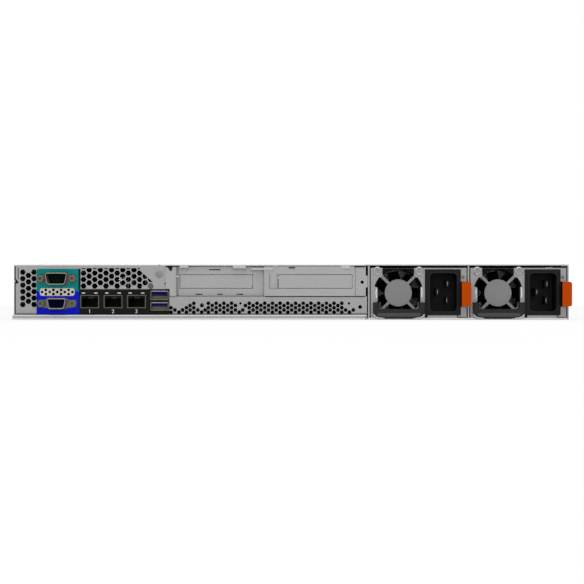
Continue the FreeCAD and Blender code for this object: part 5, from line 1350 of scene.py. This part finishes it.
@dataclass
class DConnector:
    """A D-shaped connector's rim, insulator, washers and contacts."""

    node: str
    shell: Pair
    lean: float = 1.7
    floor_depth: float = 6.8
    filled: bool = False
    standing: float = 5.8
    screw_reach: float = 12.5
    pin_pitch: float = 2.77
    pin_rise: float = 1.42
    socket_pitch: float = 2.29
    socket_rise: float = 2.0
    socket_shift: float = 1.14

    def build(self) -> None:
        """Builds the rim, the insulator, the washers under the jackscrews and the contacts."""
        x, front, z = Span.of(self.node).at(y=0.0)
        width, height = self.shell
        # The rim wire's lighter plating is a painted highlight on the shell's rolled edge.
        rim = upright(d_outline(width - 0.5, height - 0.5, self.lean, 1.9), (x, front + 0.15, z))
        add_wire(self.node + "_rim", [rim], True, 0.3, SHELL_RIM_HIGHLIGHT)
        floor = front + self.floor_depth
        insulator = slab(d_outline(width - 2.0, height - 2.0, self.lean, 1.3), 0.5, 0.15)
        add(self.node + "_insulator", set_down(insulator, (x, floor + 0.05, z)),
            VGA_FILL if self.filled else SERIAL_FILL)
        washer = turned([(0, 0), (2.9, 0), (2.9, 0.3), (2.7, 0.45), (0, 0.45)], 28)
        add_rows(self.node + "_washers", set_down(washer), SHELL, "nickel_shell",
                 (x - self.screw_reach, front + self.standing, z),
                 across=(self.screw_reach * 2, 0, 0), columns=2)
        self.contacts((x, floor - 0.4, z))

    def contacts(self, at: Point) -> None:
        """Sets out the pins of a male connector or the sockets of a female one."""
        if self.filled:
            cup = turned([(0.55, 0), (0.55, 0.1), (0.4, 0.16), (0.25, 0.02), (0, 0.0)], 10)
            start = shifted(at, x=-self.socket_pitch * 2 - self.socket_shift / 2,
                            z=-self.socket_rise)
            add_rows(self.node + "_sockets", set_down(cup), VGA_FILL, "brass_post", start,
                     across=(self.socket_pitch, 0, 0), columns=5, up=(0, 0, self.socket_rise),
                     rows=3, stagger=(self.socket_shift, 0, 0))
            return
        pin = turned([(0.66, 0), (0.66, 5.3), (0.5, 5.7), (0.2, 5.9), (0, 5.95)], 12)
        for label, count, height in (("upper", 5, self.pin_rise), ("lower", 4, -self.pin_rise)):
            start = shifted(at, x=-self.pin_pitch * (count - 1) / 2, y=0.3, z=height)
            add_rows("%s_pins_%s" % (self.node, label), set_down(pin.copy()), SHADED_PIN,
                     "brass_post", start, across=(self.pin_pitch, 0, 0), columns=count)
        pin.free()


@dataclass
class NetworkJacks:
    """Black inserts, linings and contacts of the three network jacks, and their numbers."""

    count: int = 3
    pitch: float = 18.3
    contact_pitch: float = 1.02
    half_mouth: list[Pair] = field(default_factory=lambda: [
        (5.85, -4.35), (5.85, 2.45), (2.95, 2.45), (2.95, 4.1)])
    half_face: list[Pair] = field(default_factory=lambda: [
        (6.62, -4.42), (6.62, 2.45), (6.62, 4.42), (2.95, 4.42)])

    def build(self) -> None:
        """Builds the inserts, the contacts and the printed numbers."""
        left, rear, z = Span.of("network_jacks").at(x=0.0, y=0.0)
        first = left + 7.4
        mouth, face = (half + mirrored(half) for half in (self.half_mouth, self.half_face))
        insert = set_down(slab(face, 0.5, hole=mouth), (0, 0.68, 0))
        inner = [(x * 0.97, y * 0.97) for x, y in mouth]
        lining = set_down(slab(mouth, 13.0, hole=inner), (0, 13.7, 0))
        back = set_down(slab(mouth, 0.3), (0, 13.9, 0))
        shape = together(insert, lining, back)
        add_rows("jack_inserts", shape, JACK_BLACK, "black_plastic", (first, rear, z),
                 across=(self.pitch, 0, 0), columns=self.count)
        contact = block(0.42, 0.5, 9.0, 0.1, (0, 11.5, 0), segments=1)
        add_rows("jack_contacts", contact, JACK_CONTACT, "brass_post",
                 (first - self.contact_pitch * 3.5, rear, z - 3.6),
                 across=(self.contact_pitch, 0, 0), columns=8, up=(self.pitch, 0, 0),
                 rows=self.count)
        self.print_marks(first)

    def print_marks(self, first: float) -> None:
        """Prints plain numbers under the jacks and ticks above them."""
        face = Span.of("io_label").low[1] - 0.02
        for i in range(self.count):
            carry(numeral("jack_number_%d" % (i + 1), str(i + 1),
                          (first + self.pitch * i, face, 6.2), 3.0, Facing.REAR, PRINT_GREY))
        tick = block(2.6, 0.7, 0.12, 0.05, segments=1)
        add_rows("jack_ticks", tick, PRINT_GREY, "label_black", (first - 4.9, face + 0.05, 20.7),
                 across=(9.8, 0, 0), columns=2, up=(self.pitch, 0, 0), rows=self.count)


@dataclass
class UsbStack:
    """Tongues, spring plates, rims, lips, gap and contacts of the two stacked USB sockets."""

    pitch: float = 8.4

    def build(self) -> None:
        """Builds both sockets' pieces, then the gap between them and the contacts."""
        x, front, z = Span.of("usb_ports").at(y=0.0)
        rear = front + 0.6
        for label, side, height in (("upper", 1, 6.4), ("lower", -1, 5.8)):
            level = z + self.pitch / 2 * side
            middle = level + (height - 6.4) / 2
            add("usb_tongue_" + label, block(11.75, 2.6, 11.2, 0.25, (x, rear + 11.5, level + 1.4)),
                USB_BLUE)
            add("usb_spring_plate_" + label,
                block(12.2, 2.4, 8.0, 0.25, (x, rear + 10.5, level - 1.55)),
                SPRING_PLATE)
            # The rim wire's lighter plating is a painted highlight on the shell's rolled edge.
            rim = upright(rounded_outline(13.4, height, 0.5), (x, front + 0.05, middle))
            add_wire("usb_rim_" + label, [rim], True, 0.26, SHELL_RIM_HIGHLIGHT, 6)
            add("usb_lip_" + label,
                block(12.9, 0.6, 0.4, 0.12, (x, front + 0.12, middle + height / 2)),
                USB_LIP)
        add("usb_gap", block(12.9, 1.3, 0.3, 0.1, (x, front + 0.12, z - 0.3)), SHADOW_LINE_AND_SEAM_BLACK)
        contact = block(1.0, 0.15, 7.0, 0.04, segments=1)
        add_rows("usb_contacts", contact, PIN_METAL, "brass_post",
                 (x - 3.5, rear + 9.0, z + self.pitch / 2 + 0.04), across=(2.33, 0, 0), columns=4,
                 up=(0, 0, -self.pitch), rows=2)


# ------------------------------------------------------------------ power supplies


@dataclass
class PowerSupply(Numbered):
    """Fine pieces of one power supply, placed from its case and its handle."""

    home: ClassVar[str] = "psu"
    fan: Pair = (21.6, 19.6)
    screw_reach: float = 16.3
    screw_rise: float = 17.2
    inlet: Pair = (56.4, 20.1)
    cavity: Pair = (21.1, 29.9)
    handle_leg: float = 4.3
    handle_bar: float = 6.9
    rib_pitch: float = 1.131
    rib_count: int = 30
    # Radii of the painted highlight arcs on the mouth's left and right edges.
    edge_radii: Pair = (18.5, 17.4)
    hub_radius: float = 10.1
    side_screw: Pair = (72.2, 32.1)

    def build(self) -> None:
        """Builds the supply's pieces in order."""
        case = Span.of(self.name("psu_case"))
        self.x, self.z = case.low[0], case.low[2]
        self.rear = Span.of(self.name("psu_fan_guard")).low[1] - 0.6
        self.screws()
        self.blades()
        self.inlet_rim()
        self.handle()
        self.fan_trim()
        self.case_screw()

    def screws(self) -> None:
        """Makes the two round heads with their dished middles, in place of the plain ones."""
        profile = [(0, -8.4), (1.15, -8.4), (1.15, -0.6), (3.3, -0.6), (3.3, 0.75), (3.05, 1.2),
                   (2.75, 1.4), (2.55, 1.3), (2.45, 0.95), (0.9, 0.9), (0, 0.9)]
        head = set_down(turned(profile, 36))
        start = (self.x + self.fan[0] - self.screw_reach, self.rear,
                 self.z + self.fan[1] + self.screw_rise)
        step = (self.screw_reach * 2, 0, 0)
        heads = set_out(self.name("case_screws"), head, SCREW, start, step, 2)
        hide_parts(self.name("psu_screws"))
        self.ride(heads, "plated_screw")
        dish = turned([(0, 0), (2.42, 0), (2.4, 0.2), (1.0, 0.16), (0.85, 0.06), (0, 0.06)], 24)
        set_down(dish, (0, -0.88, 0))
        self.add_rows("case_screw_sockets", dish, SCREW_DISH, "plated_screw", start, across=step,
                      columns=2)

    def blades(self) -> None:
        """Makes the inlet's three blades, darkened as painted shade, with painted highlights on
        their ends.
        """
        node = Span.of(self.name("inlet_blades"))
        x, z = self.x + self.inlet[0], self.z + self.inlet[1]
        length = node.high[1] - node.low[1]
        shapes = [block(2.0, 6.4, length, 0.7, (x + dx, node.high[1], z + dz))
                  for dx, dz in ((-4.2, 0.0), (3.8, 6.5), (3.8, -6.5))]
        blades = link_mesh(self.name("worn_blades"), together(*shapes), BLADE_METAL_SHADED)
        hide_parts(self.name("inlet_blades"))
        self.ride(blades, "plated_screw")
        # Painted highlights: thin bright strips on the blades' ends.
        tips = [block(0.4, 3.0, 0.3, 0.1, (x + dx, node.low[1] + 0.1, z + dz))
                for dx, dz in ((-3.85, 0.4), (4.15, 6.7), (3.35, -6.3))]
        self.add("blade_ends", together(*tips), BLADE_END_HIGHLIGHT, "plated_screw")

    def inlet_rim(self) -> None:
        """Makes the raised lip round the plug opening, in a lighter moulding as a painted highlight
        on its edge.
        """
        inlet = Span.of(self.name("power_inlet"))
        x, z = self.x + self.inlet[0] + 0.4, self.z + self.inlet[1]
        width, height = self.cavity
        rim = slab(rounded_outline(width + 2.2, height + 2.2, 4.0), 0.5, 0.2,
                   hole=rounded_outline(width, height, 3.0))
        self.add("inlet_lip", set_down(rim, (x, inlet.low[1] + 0.1, z)), INLET_EDGE_HIGHLIGHT,
                 "black_plastic")

    def handle(self) -> None:
        """Makes the bail handle, then the trim on its lower bar."""
        node = Span.of(self.name("psu_handle"))
        width, height = node.high[0] - node.low[0], node.high[2] - node.low[2]
        half, leg, bar = width / 2, self.handle_leg, self.handle_bar
        foot = [(half - 9.8, -0.6), (half - 8.0, 0.15), (half - 5.6, 0.4), (half - 3.5, 0.75),
                (half - 1.6, 1.9), (half, 3.5)]
        side = [(half, height), (half - leg, height), (half - leg, bar + 1.6),
                (half - leg - 1.6, bar)]
        outline = mirrored(foot) + foot + side + mirrored(side)
        depth = node.high[1] - node.low[1]
        middle = (node.low[0] + node.high[0]) / 2
        bail = set_down(slab(outline, depth, 0.5), (middle, node.high[1], node.low[2]))
        pins = [set_down(turned([(0, 0), (0.85, 0), (0.85, 2.2), (0, 2.2)], 16),
                         (middle + x, node.high[1] - depth / 2, node.high[2] - 1.4), facing)
                for facing, x in ((Facing.RIGHT, leg - half - 0.4),
                                  (Facing.LEFT, half - leg + 0.4))]
        bail = link_mesh(self.name("bail_handle"), together(bail, *pins), HANDLE_DARK)
        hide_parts(self.name("psu_handle"))
        self.ride(bail, "black_plastic", "psu_handle")
        self.handle_trim((middle, node.low[1], node.low[2]), half)

    def handle_trim(self, foot: Point, half: float) -> None:
        """Makes the painted highlights on the handle's lower corners, its pale band and grip ribs.

        Args:
            foot: The middle of the handle's lower front edge.
            half: Half of the handle's width.
        """
        # Painted highlights: bright arcs on the handle's lower corners.
        corner = [(half - 0.4, 2.7), (half - 1.5, 1.3), (half - 3.4, 0.15), (half - 5.5, -0.15),
                  (half - 7.6, -0.3)]
        edges = [upright([(x * side, z) for x, z in corner], shifted(foot, y=1.0))
                 for side in (-1, 1)]
        self.add_wire("handle_edges", edges, False, 0.5, STEEL_PALE_AND_HIGHLIGHT, "black_plastic",
                      body="psu_handle")
        at = shifted(foot, y=0.1, z=2.4)
        self.add("handle_band", block(half * 2 - 7.0, 2.9, 0.4, 0.15, at), HANDLE_GREY,
                 "black_plastic", "psu_handle")
        rib = block(0.5, 2.8, 0.5, 0.12, segments=1)
        self.add_rows("handle_ribs", rib, HANDLE_GREY, "black_plastic", shifted(at, x=-16.4),
                      body="psu_handle", across=(self.rib_pitch, 0, 0), columns=self.rib_count)

    def fan_trim(self) -> None:
        """Makes the painted highlights on the edges of the fan's mouth, the hub's ring, the dark
        strips and the painted shade at the mouth's sides.
        """
        face = self.rear + 0.05
        fan = (self.x + self.fan[0], face, self.z + self.fan[1])
        # Painted highlights: bright arcs on the left and right edges of the mouth.
        paths = [upright(arc(radius, start, start + 24, 8), shifted(fan, y=-0.15))
                 for start, radius in zip((-11, 169), self.edge_radii)]
        self.add_wire("mouth_edges", paths, False, 0.45, EDGE_HIGHLIGHT_STEEL, "galvanised_steel")
        guard = Span.of(self.name("psu_fan_guard"))
        hub = upright(ring(self.hub_radius, 36), (fan[0], guard.low[1] + 0.1, fan[2]))
        self.add_wire("hub_ring", [hub], True, 0.2, STEEL_GUARD, "galvanised_steel", sides=6)
        strips = [block(24.8, 1.5, 0.4, 0.12, (fan[0], face, self.z + 39.5)),
                  block(53.0, 0.6, 0.4, 0.12, (self.x + 48.0, face, self.z + 40.1)),
                  block(1.7, 13.0, 0.3, 0.1, (self.x + 38.05, face, self.z + 18.8))]
        # Painted shade: dark lobes at both sides of the mouth, where the fan's inside shows.
        for start in (15, 140):
            lobe = arc(19.3, start, start + 25, 8) + arc(17.2, start + 25, start, 8)
            strips.append(set_down(slab(lobe, 0.25), fan))
        self.add("mouth_seal", together(*strips), NEAR_BLACK_SHADE_AND_STRIPS, "black_plastic")

    def case_screw(self) -> None:
        """Makes the small cross-head screw beside the inlet, with its cross recess as black painted
        shade, and the seam and key at the foot.
        """
        head = turned([(0, 0), (1.45, 0), (1.4, 0.4), (1.0, 0.7), (0, 0.75)], 24)
        at = (self.x + self.side_screw[0], self.rear, self.z + self.side_screw[1])
        # Painted shade: a black cross stands for the shade in the recess.
        slots = [block(w, h, 0.3, 0.05, shifted(at, y=-0.55), segments=1)
                 for w, h in ((1.5, 0.3), (0.3, 1.5))]
        self.add("side_screw", set_down(head, at), STEEL_RIVET, "plated_screw")
        self.add("side_screw_cross", together(*slots), JACK_BLACK, "plated_screw")
        seam = [block(w, h, 0.2, 0.05, (self.x + x, self.rear + 0.05, z), segments=1)
                for w, h, x, z in ((0.6, 2.8, 68.0, 2.9), (7.0, 0.6, 71.2, 1.65))]
        self.add("foot_seam", together(*seam), NEAR_BLACK_SHADE_AND_STRIPS, "black_plastic")
        key = block(1.8, 2.3, 0.9, 0.2, (self.x + 43.5, self.rear, self.z + 1.4))
        self.add("foot_key", key, JACK_BLACK, "black_plastic")


# ------------------------------------------------------------------ covers and sides


@dataclass
class CoverLatch:
    """Grip ridges and the arrow of the cover's latch."""

    ridge_count: int = 7
    ridge_pitch: float = 1.3

    def build(self) -> None:
        """Builds the ridges and the arrow."""
        latch = Span.of("cover_latch")
        top = latch.high[2]
        ridge = block(44, 0.6, 0.35, 0.15, facing=Facing.UP, segments=1)
        middle = (latch.low[0] + latch.high[0]) / 2
        add_rows("latch_ridges", ridge, BLACK_PLASTIC, "black_plastic",
                 (middle, latch.high[1] - 2.6, top - 0.05), body="cover_latch",
                 up=(0, -self.ridge_pitch, 0), rows=self.ridge_count)
        arrow = slab([(-3.2, 0), (-1.2, 0), (-1.2, -3.0), (1.2, -3.0), (1.2, 0), (3.2, 0),
                      (0, 3.4)], 0.2, 0.08)
        add("latch_arrow", set_down(arrow, (middle, latch.low[1] + 6.4, top - 0.02), Facing.UP),
            HANDLE_GREY, "cover_latch")


@dataclass
class ChassisSides:
    """Shoulder studs for the rails, rivets along the walls and the screws that hold the ears."""

    wall: float = 217.0
    stud_height: float = 21.5
    stud_places: tuple[float, ...] = (34.0, 240.0, 470.0, 612.0)
    rivet_levels: tuple[tuple[str, float], ...] = (("low", 5.0), ("high", 37.2))
    rivet_start: float = 26.0
    rivet_pitch: float = 58.0
    rivet_count: int = 11

    def build(self) -> None:
        """Builds both sides."""
        back = Span.of("chassis_tray").low[1]
        for label, side, facing in (("left", -1, Facing.LEFT), ("right", 1, Facing.RIGHT)):
            x = self.wall * side
            studs = [set_down(turned([(2.0, -0.4), (2.0, 2.2), (3.6, 2.2), (3.8, 2.6), (3.6, 3.3),
                                      (2.6, 3.6), (0, 3.65)], 28),
                              (x, back + along, self.stud_height), facing)
                     for along in self.stud_places]
            add("rail_studs_" + label, together(*studs), SCREW)
            for row, level in self.rivet_levels:
                rivet = turned([(0, -0.3), (2.1, -0.3), (2.1, 0.1), (1.8, 0.45), (0.9, 0.65),
                                (0, 0.68)], 14)
                add_rows("side_rivets_%s_%s" % (row, label), set_down(rivet, facing=facing),
                         STEEL_PALE_AND_HIGHLIGHT, "galvanised_steel", (x, back + self.rivet_start, level),
                         across=(0, self.rivet_pitch, 0), columns=self.rivet_count)
            head = turned([(0, -0.2), (2.9, -0.2), (2.9, 0.3), (2.5, 0.75), (1.3, 0.85),
                           (1.2, 0.35), (0, 0.35)], 24)
            start = (x + 2.0 * side, Span.of("rack_ear_" + label).low[1] + 8.0, 9.0)
            add_rows("ear_screws_" + label, set_down(head, facing=facing), SCREW, "plated_screw",
                     start, across=(0, 22.0, 0), columns=2, up=(0, 0, 25.0), rows=2)


# ------------------------------------------------------------------ front


@dataclass
class DriveBay(Numbered):
    """Lamps, number, latch button, vent rims and drive cover of one drive carrier."""

    home: ClassVar[str] = "drive"
    lever_end: float = 92.0
    lamp_side: float = 103.2
    vent_pitch: float = 6.4
    vent_count: int = 16

    def build(self) -> None:
        """Builds the bay's pieces."""
        carrier = Span.of(self.name("drive_carrier"))
        left, base, front = carrier.low[0], carrier.low[2], carrier.high[1]
        lamps = (("lamp_ready", 12.0, LAMP_GREEN), ("lamp_fault", 16.4, LAMP_AMBER))
        for stem, height, finish in lamps:
            at = (left + self.lamp_side, front - 0.12, base + height)
            self.add(stem, block(3.4, 1.8, 0.5, 0.3, at, Facing.FRONT), finish, "black_plastic")
        at = (left + self.lamp_side, front + 0.02, base + 5.4)
        self.ride(numeral(self.name("bay_number"), str(self.number), at, 3.6, Facing.FRONT,
                          PRINT_GREY), "black_plastic")
        at = (left + self.lever_end + 1.9, front - 5.6, base + 14.0)
        self.add("lever_button", block(2.8, 12.2, 4.6, 0.6, at, Facing.FRONT), ORANGE_PLASTIC,
                 "orange_plastic")
        rim = set_down(slab(ring(2.65, 6), 0.5, 0.12, hole=ring(2.2, 6)), facing=Facing.FRONT)
        self.add_rows("vent_rims", rim, BLACK_PLASTIC, "black_plastic",
                      (left + 8.0, front - 0.1, base + 25.2), across=(self.vent_pitch, 0, 0),
                      columns=self.vent_count)
        self.drive_plate()

    def drive_plate(self) -> None:
        """Makes the drive's stamped cover and its screws."""
        centre = Span.of(self.name("hard_drive")).at(z=1.0)
        plate = set_down(slab(rounded_outline(96, 138, 6), 0.5, 0.25), shifted(centre, z=-0.1),
                         Facing.UP)
        dome = set_down(turned([(44, 0), (44, 0.5), (42, 0.7), (0, 0.75)], 48),
                        shifted(centre, y=14, z=-0.1), Facing.UP)
        self.add("drive_cover", together(plate, dome), ALUMINIUM, "bare_aluminium")
        head = turned([(0, 0), (2.2, 0), (2.2, 0.3), (1.9, 0.5), (0.8, 0.5), (0.7, 0.2), (0, 0.2)],
                      12)
        self.add_rows("drive_screws", set_down(head, facing=Facing.UP), SCREW, "plated_screw",
                      shifted(centre, x=-44, y=-64, z=0.35), across=(88, 0, 0), columns=2,
                      up=(0, 64, 0), rows=3)


@dataclass
class OperatorPanel:
    """Sockets, lamps, button ring and blank plate of the operator panel, and the ears' knobs."""

    sockets: Pair = (17.0, 37.0)
    lamp_pitch: float = 6.0
    knob_side: float = 225.6
    knob_height: float = 21.5
    knurl_radius: float = 4.05
    knurl_count: int = 24

    def build(self) -> None:
        """Builds the panel's pieces."""
        panel = Span.of("front_panel")
        left, front, base = panel.low[0], panel.high[1], panel.low[2]
        tongues, rims = [], []
        for middle in self.sockets:
            at = (left + middle, front - 11.5, base + 26.6)
            tongues.append(block(11.8, 2.1, 9.6, 0.25, at, facing=Facing.FRONT))
            rims.append(upright(rounded_outline(14.2, 6.8, 0.6),
                                (left + middle, front + 0.05, base + 25.25)))
        add("panel_tongues", together(*tongues), USB_BLUE)
        add_wire("panel_socket_rims", rims, True, 0.35, SHELL)
        lamp = turned([(0, -0.2), (1.0, -0.2), (1.0, 0.25), (0.7, 0.42), (0, 0.45)], 16)
        add_rows("panel_lamps", set_down(lamp, facing=Facing.FRONT), LAMP_GREEN, "black_plastic",
                 (left + 50.0, front - 0.02, base + 25.2), across=(self.lamp_pitch, 0, 0),
                 columns=3)
        button = Span.of("power_button").at()
        glow = upright(ring(5.4, 36), (button[0], front + 0.1, button[2]))
        add_wire("button_ring", [glow], True, 0.4, LAMP_GREEN)
        plate = set_down(slab(rounded_outline(58, 5.4, 1.2), 0.45, 0.15),
                         (left + 39.0, front - 0.05, base + 34.6), Facing.FRONT)
        add("panel_plate", plate, HANDLE_GREY)
        self.ear_knobs()

    def ear_knobs(self) -> None:
        """Makes the knurled captive screws in the rack ears."""
        for label, side in (("left", -1), ("right", 1)):
            knob = turned([(0, 0), (3.2, 0), (4.0, 0.5), (4.0, 4.6), (3.5, 5.4), (2.2, 5.7),
                           (0, 5.8)], 32)
            ribs = [block(0.5, 0.5, 3.4, 0.15, (x, y, 0.9), Facing.UP, 1)
                    for x, y in ring(self.knurl_radius, self.knurl_count)]
            at = (self.knob_side * side, Span.of("rack_ear_" + label).high[1], self.knob_height)
            add("ear_knob_" + label, set_down(together(knob, *ribs), at, Facing.FRONT), SCREW)


# ------------------------------------------------------------------ inside


@dataclass
class Inside:
    """Chips, capacitors, coils, latches, spring screws and fan guards behind the rear panel."""

    module_pitch: float = 9.6
    chip_pitch: float = 14.6
    board_thickness: float = 1.6
    socket_pitch: float = 152.0
    sink_width: float = 88.0
    fan_count: int = 6
    fan_start: float = -165.0
    fan_pitch: float = 66.0
    fan_height: float = 20.0
    guard_radii: tuple[float, ...] = (6.5, 11.0, 15.5)
    guard_reach: float = 19.6

    def build(self) -> None:
        """Builds the inner pieces."""
        self.memory_chips()
        self.board_parts()
        self.heatsink_screws()
        self.fan_rings()

    def memory_chips(self) -> None:
        """Sets out the chips on both faces of every module."""
        modules = Span.of("memory_modules")
        ends = (("left", modules.low[0] + 0.7),
                ("right", modules.high[0] - 0.7 - self.module_pitch * 3))
        for bank, first in ends:
            for face, side, facing in (("a", -1, Facing.LEFT), ("b", 1, Facing.RIGHT)):
                chip = block(10.5, 9.0, 0.9, 0.15, facing=facing, segments=1)
                start = (first + 0.68 * side, modules.low[1] + 12.0, modules.low[2] + 13.5)
                add_rows("memory_chips_%s_%s" % (bank, face), chip, JACK_BLACK, "black_plastic",
                         start, across=(self.module_pitch, 0, 0), columns=4,
                         up=(0, self.chip_pitch, 0), rows=8)

    def board_parts(self) -> None:
        """Sets out capacitors, coils and small packages on the main board."""
        rear = Span.of("rear_panel").high[1]
        top = Span.of("motherboard").low[2] + self.board_thickness
        capacitor = turned([(0, 0), (3.1, 0), (3.1, 7.6), (2.7, 8.0), (0, 8.05)], 16)
        add_rows("capacitors", set_down(capacitor, facing=Facing.UP), SCREW, "bare_aluminium",
                 (-150, rear + 176, top), across=(9.4, 0, 0), columns=5,
                 up=(self.socket_pitch, 0, 0), rows=2)
        coil = block(9.6, 9.6, 6.0, 0.8, facing=Facing.UP)
        add_rows("coils", coil, STEEL_GUARD, "black_plastic", (-149, rear + 196, top),
                 across=(12.6, 0, 0), columns=4, up=(self.socket_pitch, 0, 0), rows=2)
        package = block(7.2, 7.2, 1.2, 0.2, facing=Facing.UP, segments=1)
        add_rows("small_packages", package, JACK_BLACK, "black_plastic", (-190, rear + 60, top),
                 across=(17, 0, 0), columns=13, up=(0, 19, 0), rows=4, stagger=(6, 0, 0))
        resistor = block(1.6, 0.9, 0.5, 0.1, facing=Facing.UP, segments=1)
        add_rows("small_resistors", resistor, PASSIVE_SHADED, "plated_screw", (-198, rear + 50, top),
                 across=(6.1, 0, 0), columns=38, up=(0, 9.5, 0), rows=11, stagger=(2.2, 0, 0))
        for bank, first in (("left", -200.0), ("right", -50.0)):
            slot_latch = block(5.2, 3.0, 9.0, 0.6, facing=Facing.UP, segments=1)
            add_rows("memory_latches_" + bank, slot_latch, HANDLE_GREY, "black_plastic",
                     (first, rear + 187.4, top + 5.8), across=(self.module_pitch, 0, 0), columns=4,
                     up=(0, 137.4, 0), rows=2)

    def heatsink_screws(self) -> None:
        """Makes the spring screws at the corners of both heatsinks."""
        sinks = Span.of("cpu_heatsinks")
        for label, left in (("left", sinks.low[0]), ("right", sinks.high[0] - self.sink_width)):
            screw = turned([(0, 0), (3.4, 0), (3.4, 2.0), (3.0, 2.6), (1.6, 2.6), (1.5, 1.4),
                            (0, 1.4)], 18)
            add_rows("spring_screws_" + label, set_down(screw, facing=Facing.UP), BRASS,
                     "brass_post", (left + 2.6, sinks.low[1] - 4.2, sinks.low[2] + 4.6),
                     across=(82.8, 0, 0), columns=2, up=(0, 112.4, 0), rows=2)

    def fan_rings(self) -> None:
        """Makes the wire finger guards before the chassis fans."""
        front = Span.of("fan_frames").low[1] - 0.5
        inner, outer = self.guard_radii[0], self.guard_reach
        directions = [(math.cos(a), math.sin(a))
                      for a in (math.radians(45 + 90 * k) for k in range(4))]
        for i in range(self.fan_count):
            centre = (self.fan_start + self.fan_pitch * i, front, self.fan_height)
            rings = [upright(ring(radius, 24), centre) for radius in self.guard_radii]
            add_wire("fan_guard_%d" % (i + 1), rings, True, 0.6, SCREW, 6)
            spokes = [upright([(x * inner, z * inner), (x * outer, z * outer)],
                              shifted(centre, y=0.5)) for x, z in directions]
            add_wire("fan_guard_spokes_%d" % (i + 1), spokes, False, 0.6, SCREW, 6)


def main() -> None:
    """Builds the studio, dresses the nodes and adds the fine pieces in order."""
    Studio().build()
    dress_nodes()
    assemblies = [RearSheet(), VentRims(), DConnector("serial_connector", (17.4, 9.3)),
                  DConnector("vga_connector", (15.4, 8.4), floor_depth=1.2, filled=True),
                  NetworkJacks(), UsbStack(), PowerSupply(1), PowerSupply(2), CoverLatch(),
                  ChassisSides(), DriveBay(1), DriveBay(2), DriveBay(3), OperatorPanel(), Inside()]
    for assembly in assemblies:
        LOG.info("sub-assembly %s", type(assembly).__name__)
        assembly.build()
    settings = bpy.context.scene.view_settings
    settings.view_transform = "Standard"


if __name__ == "__main__":
    main()
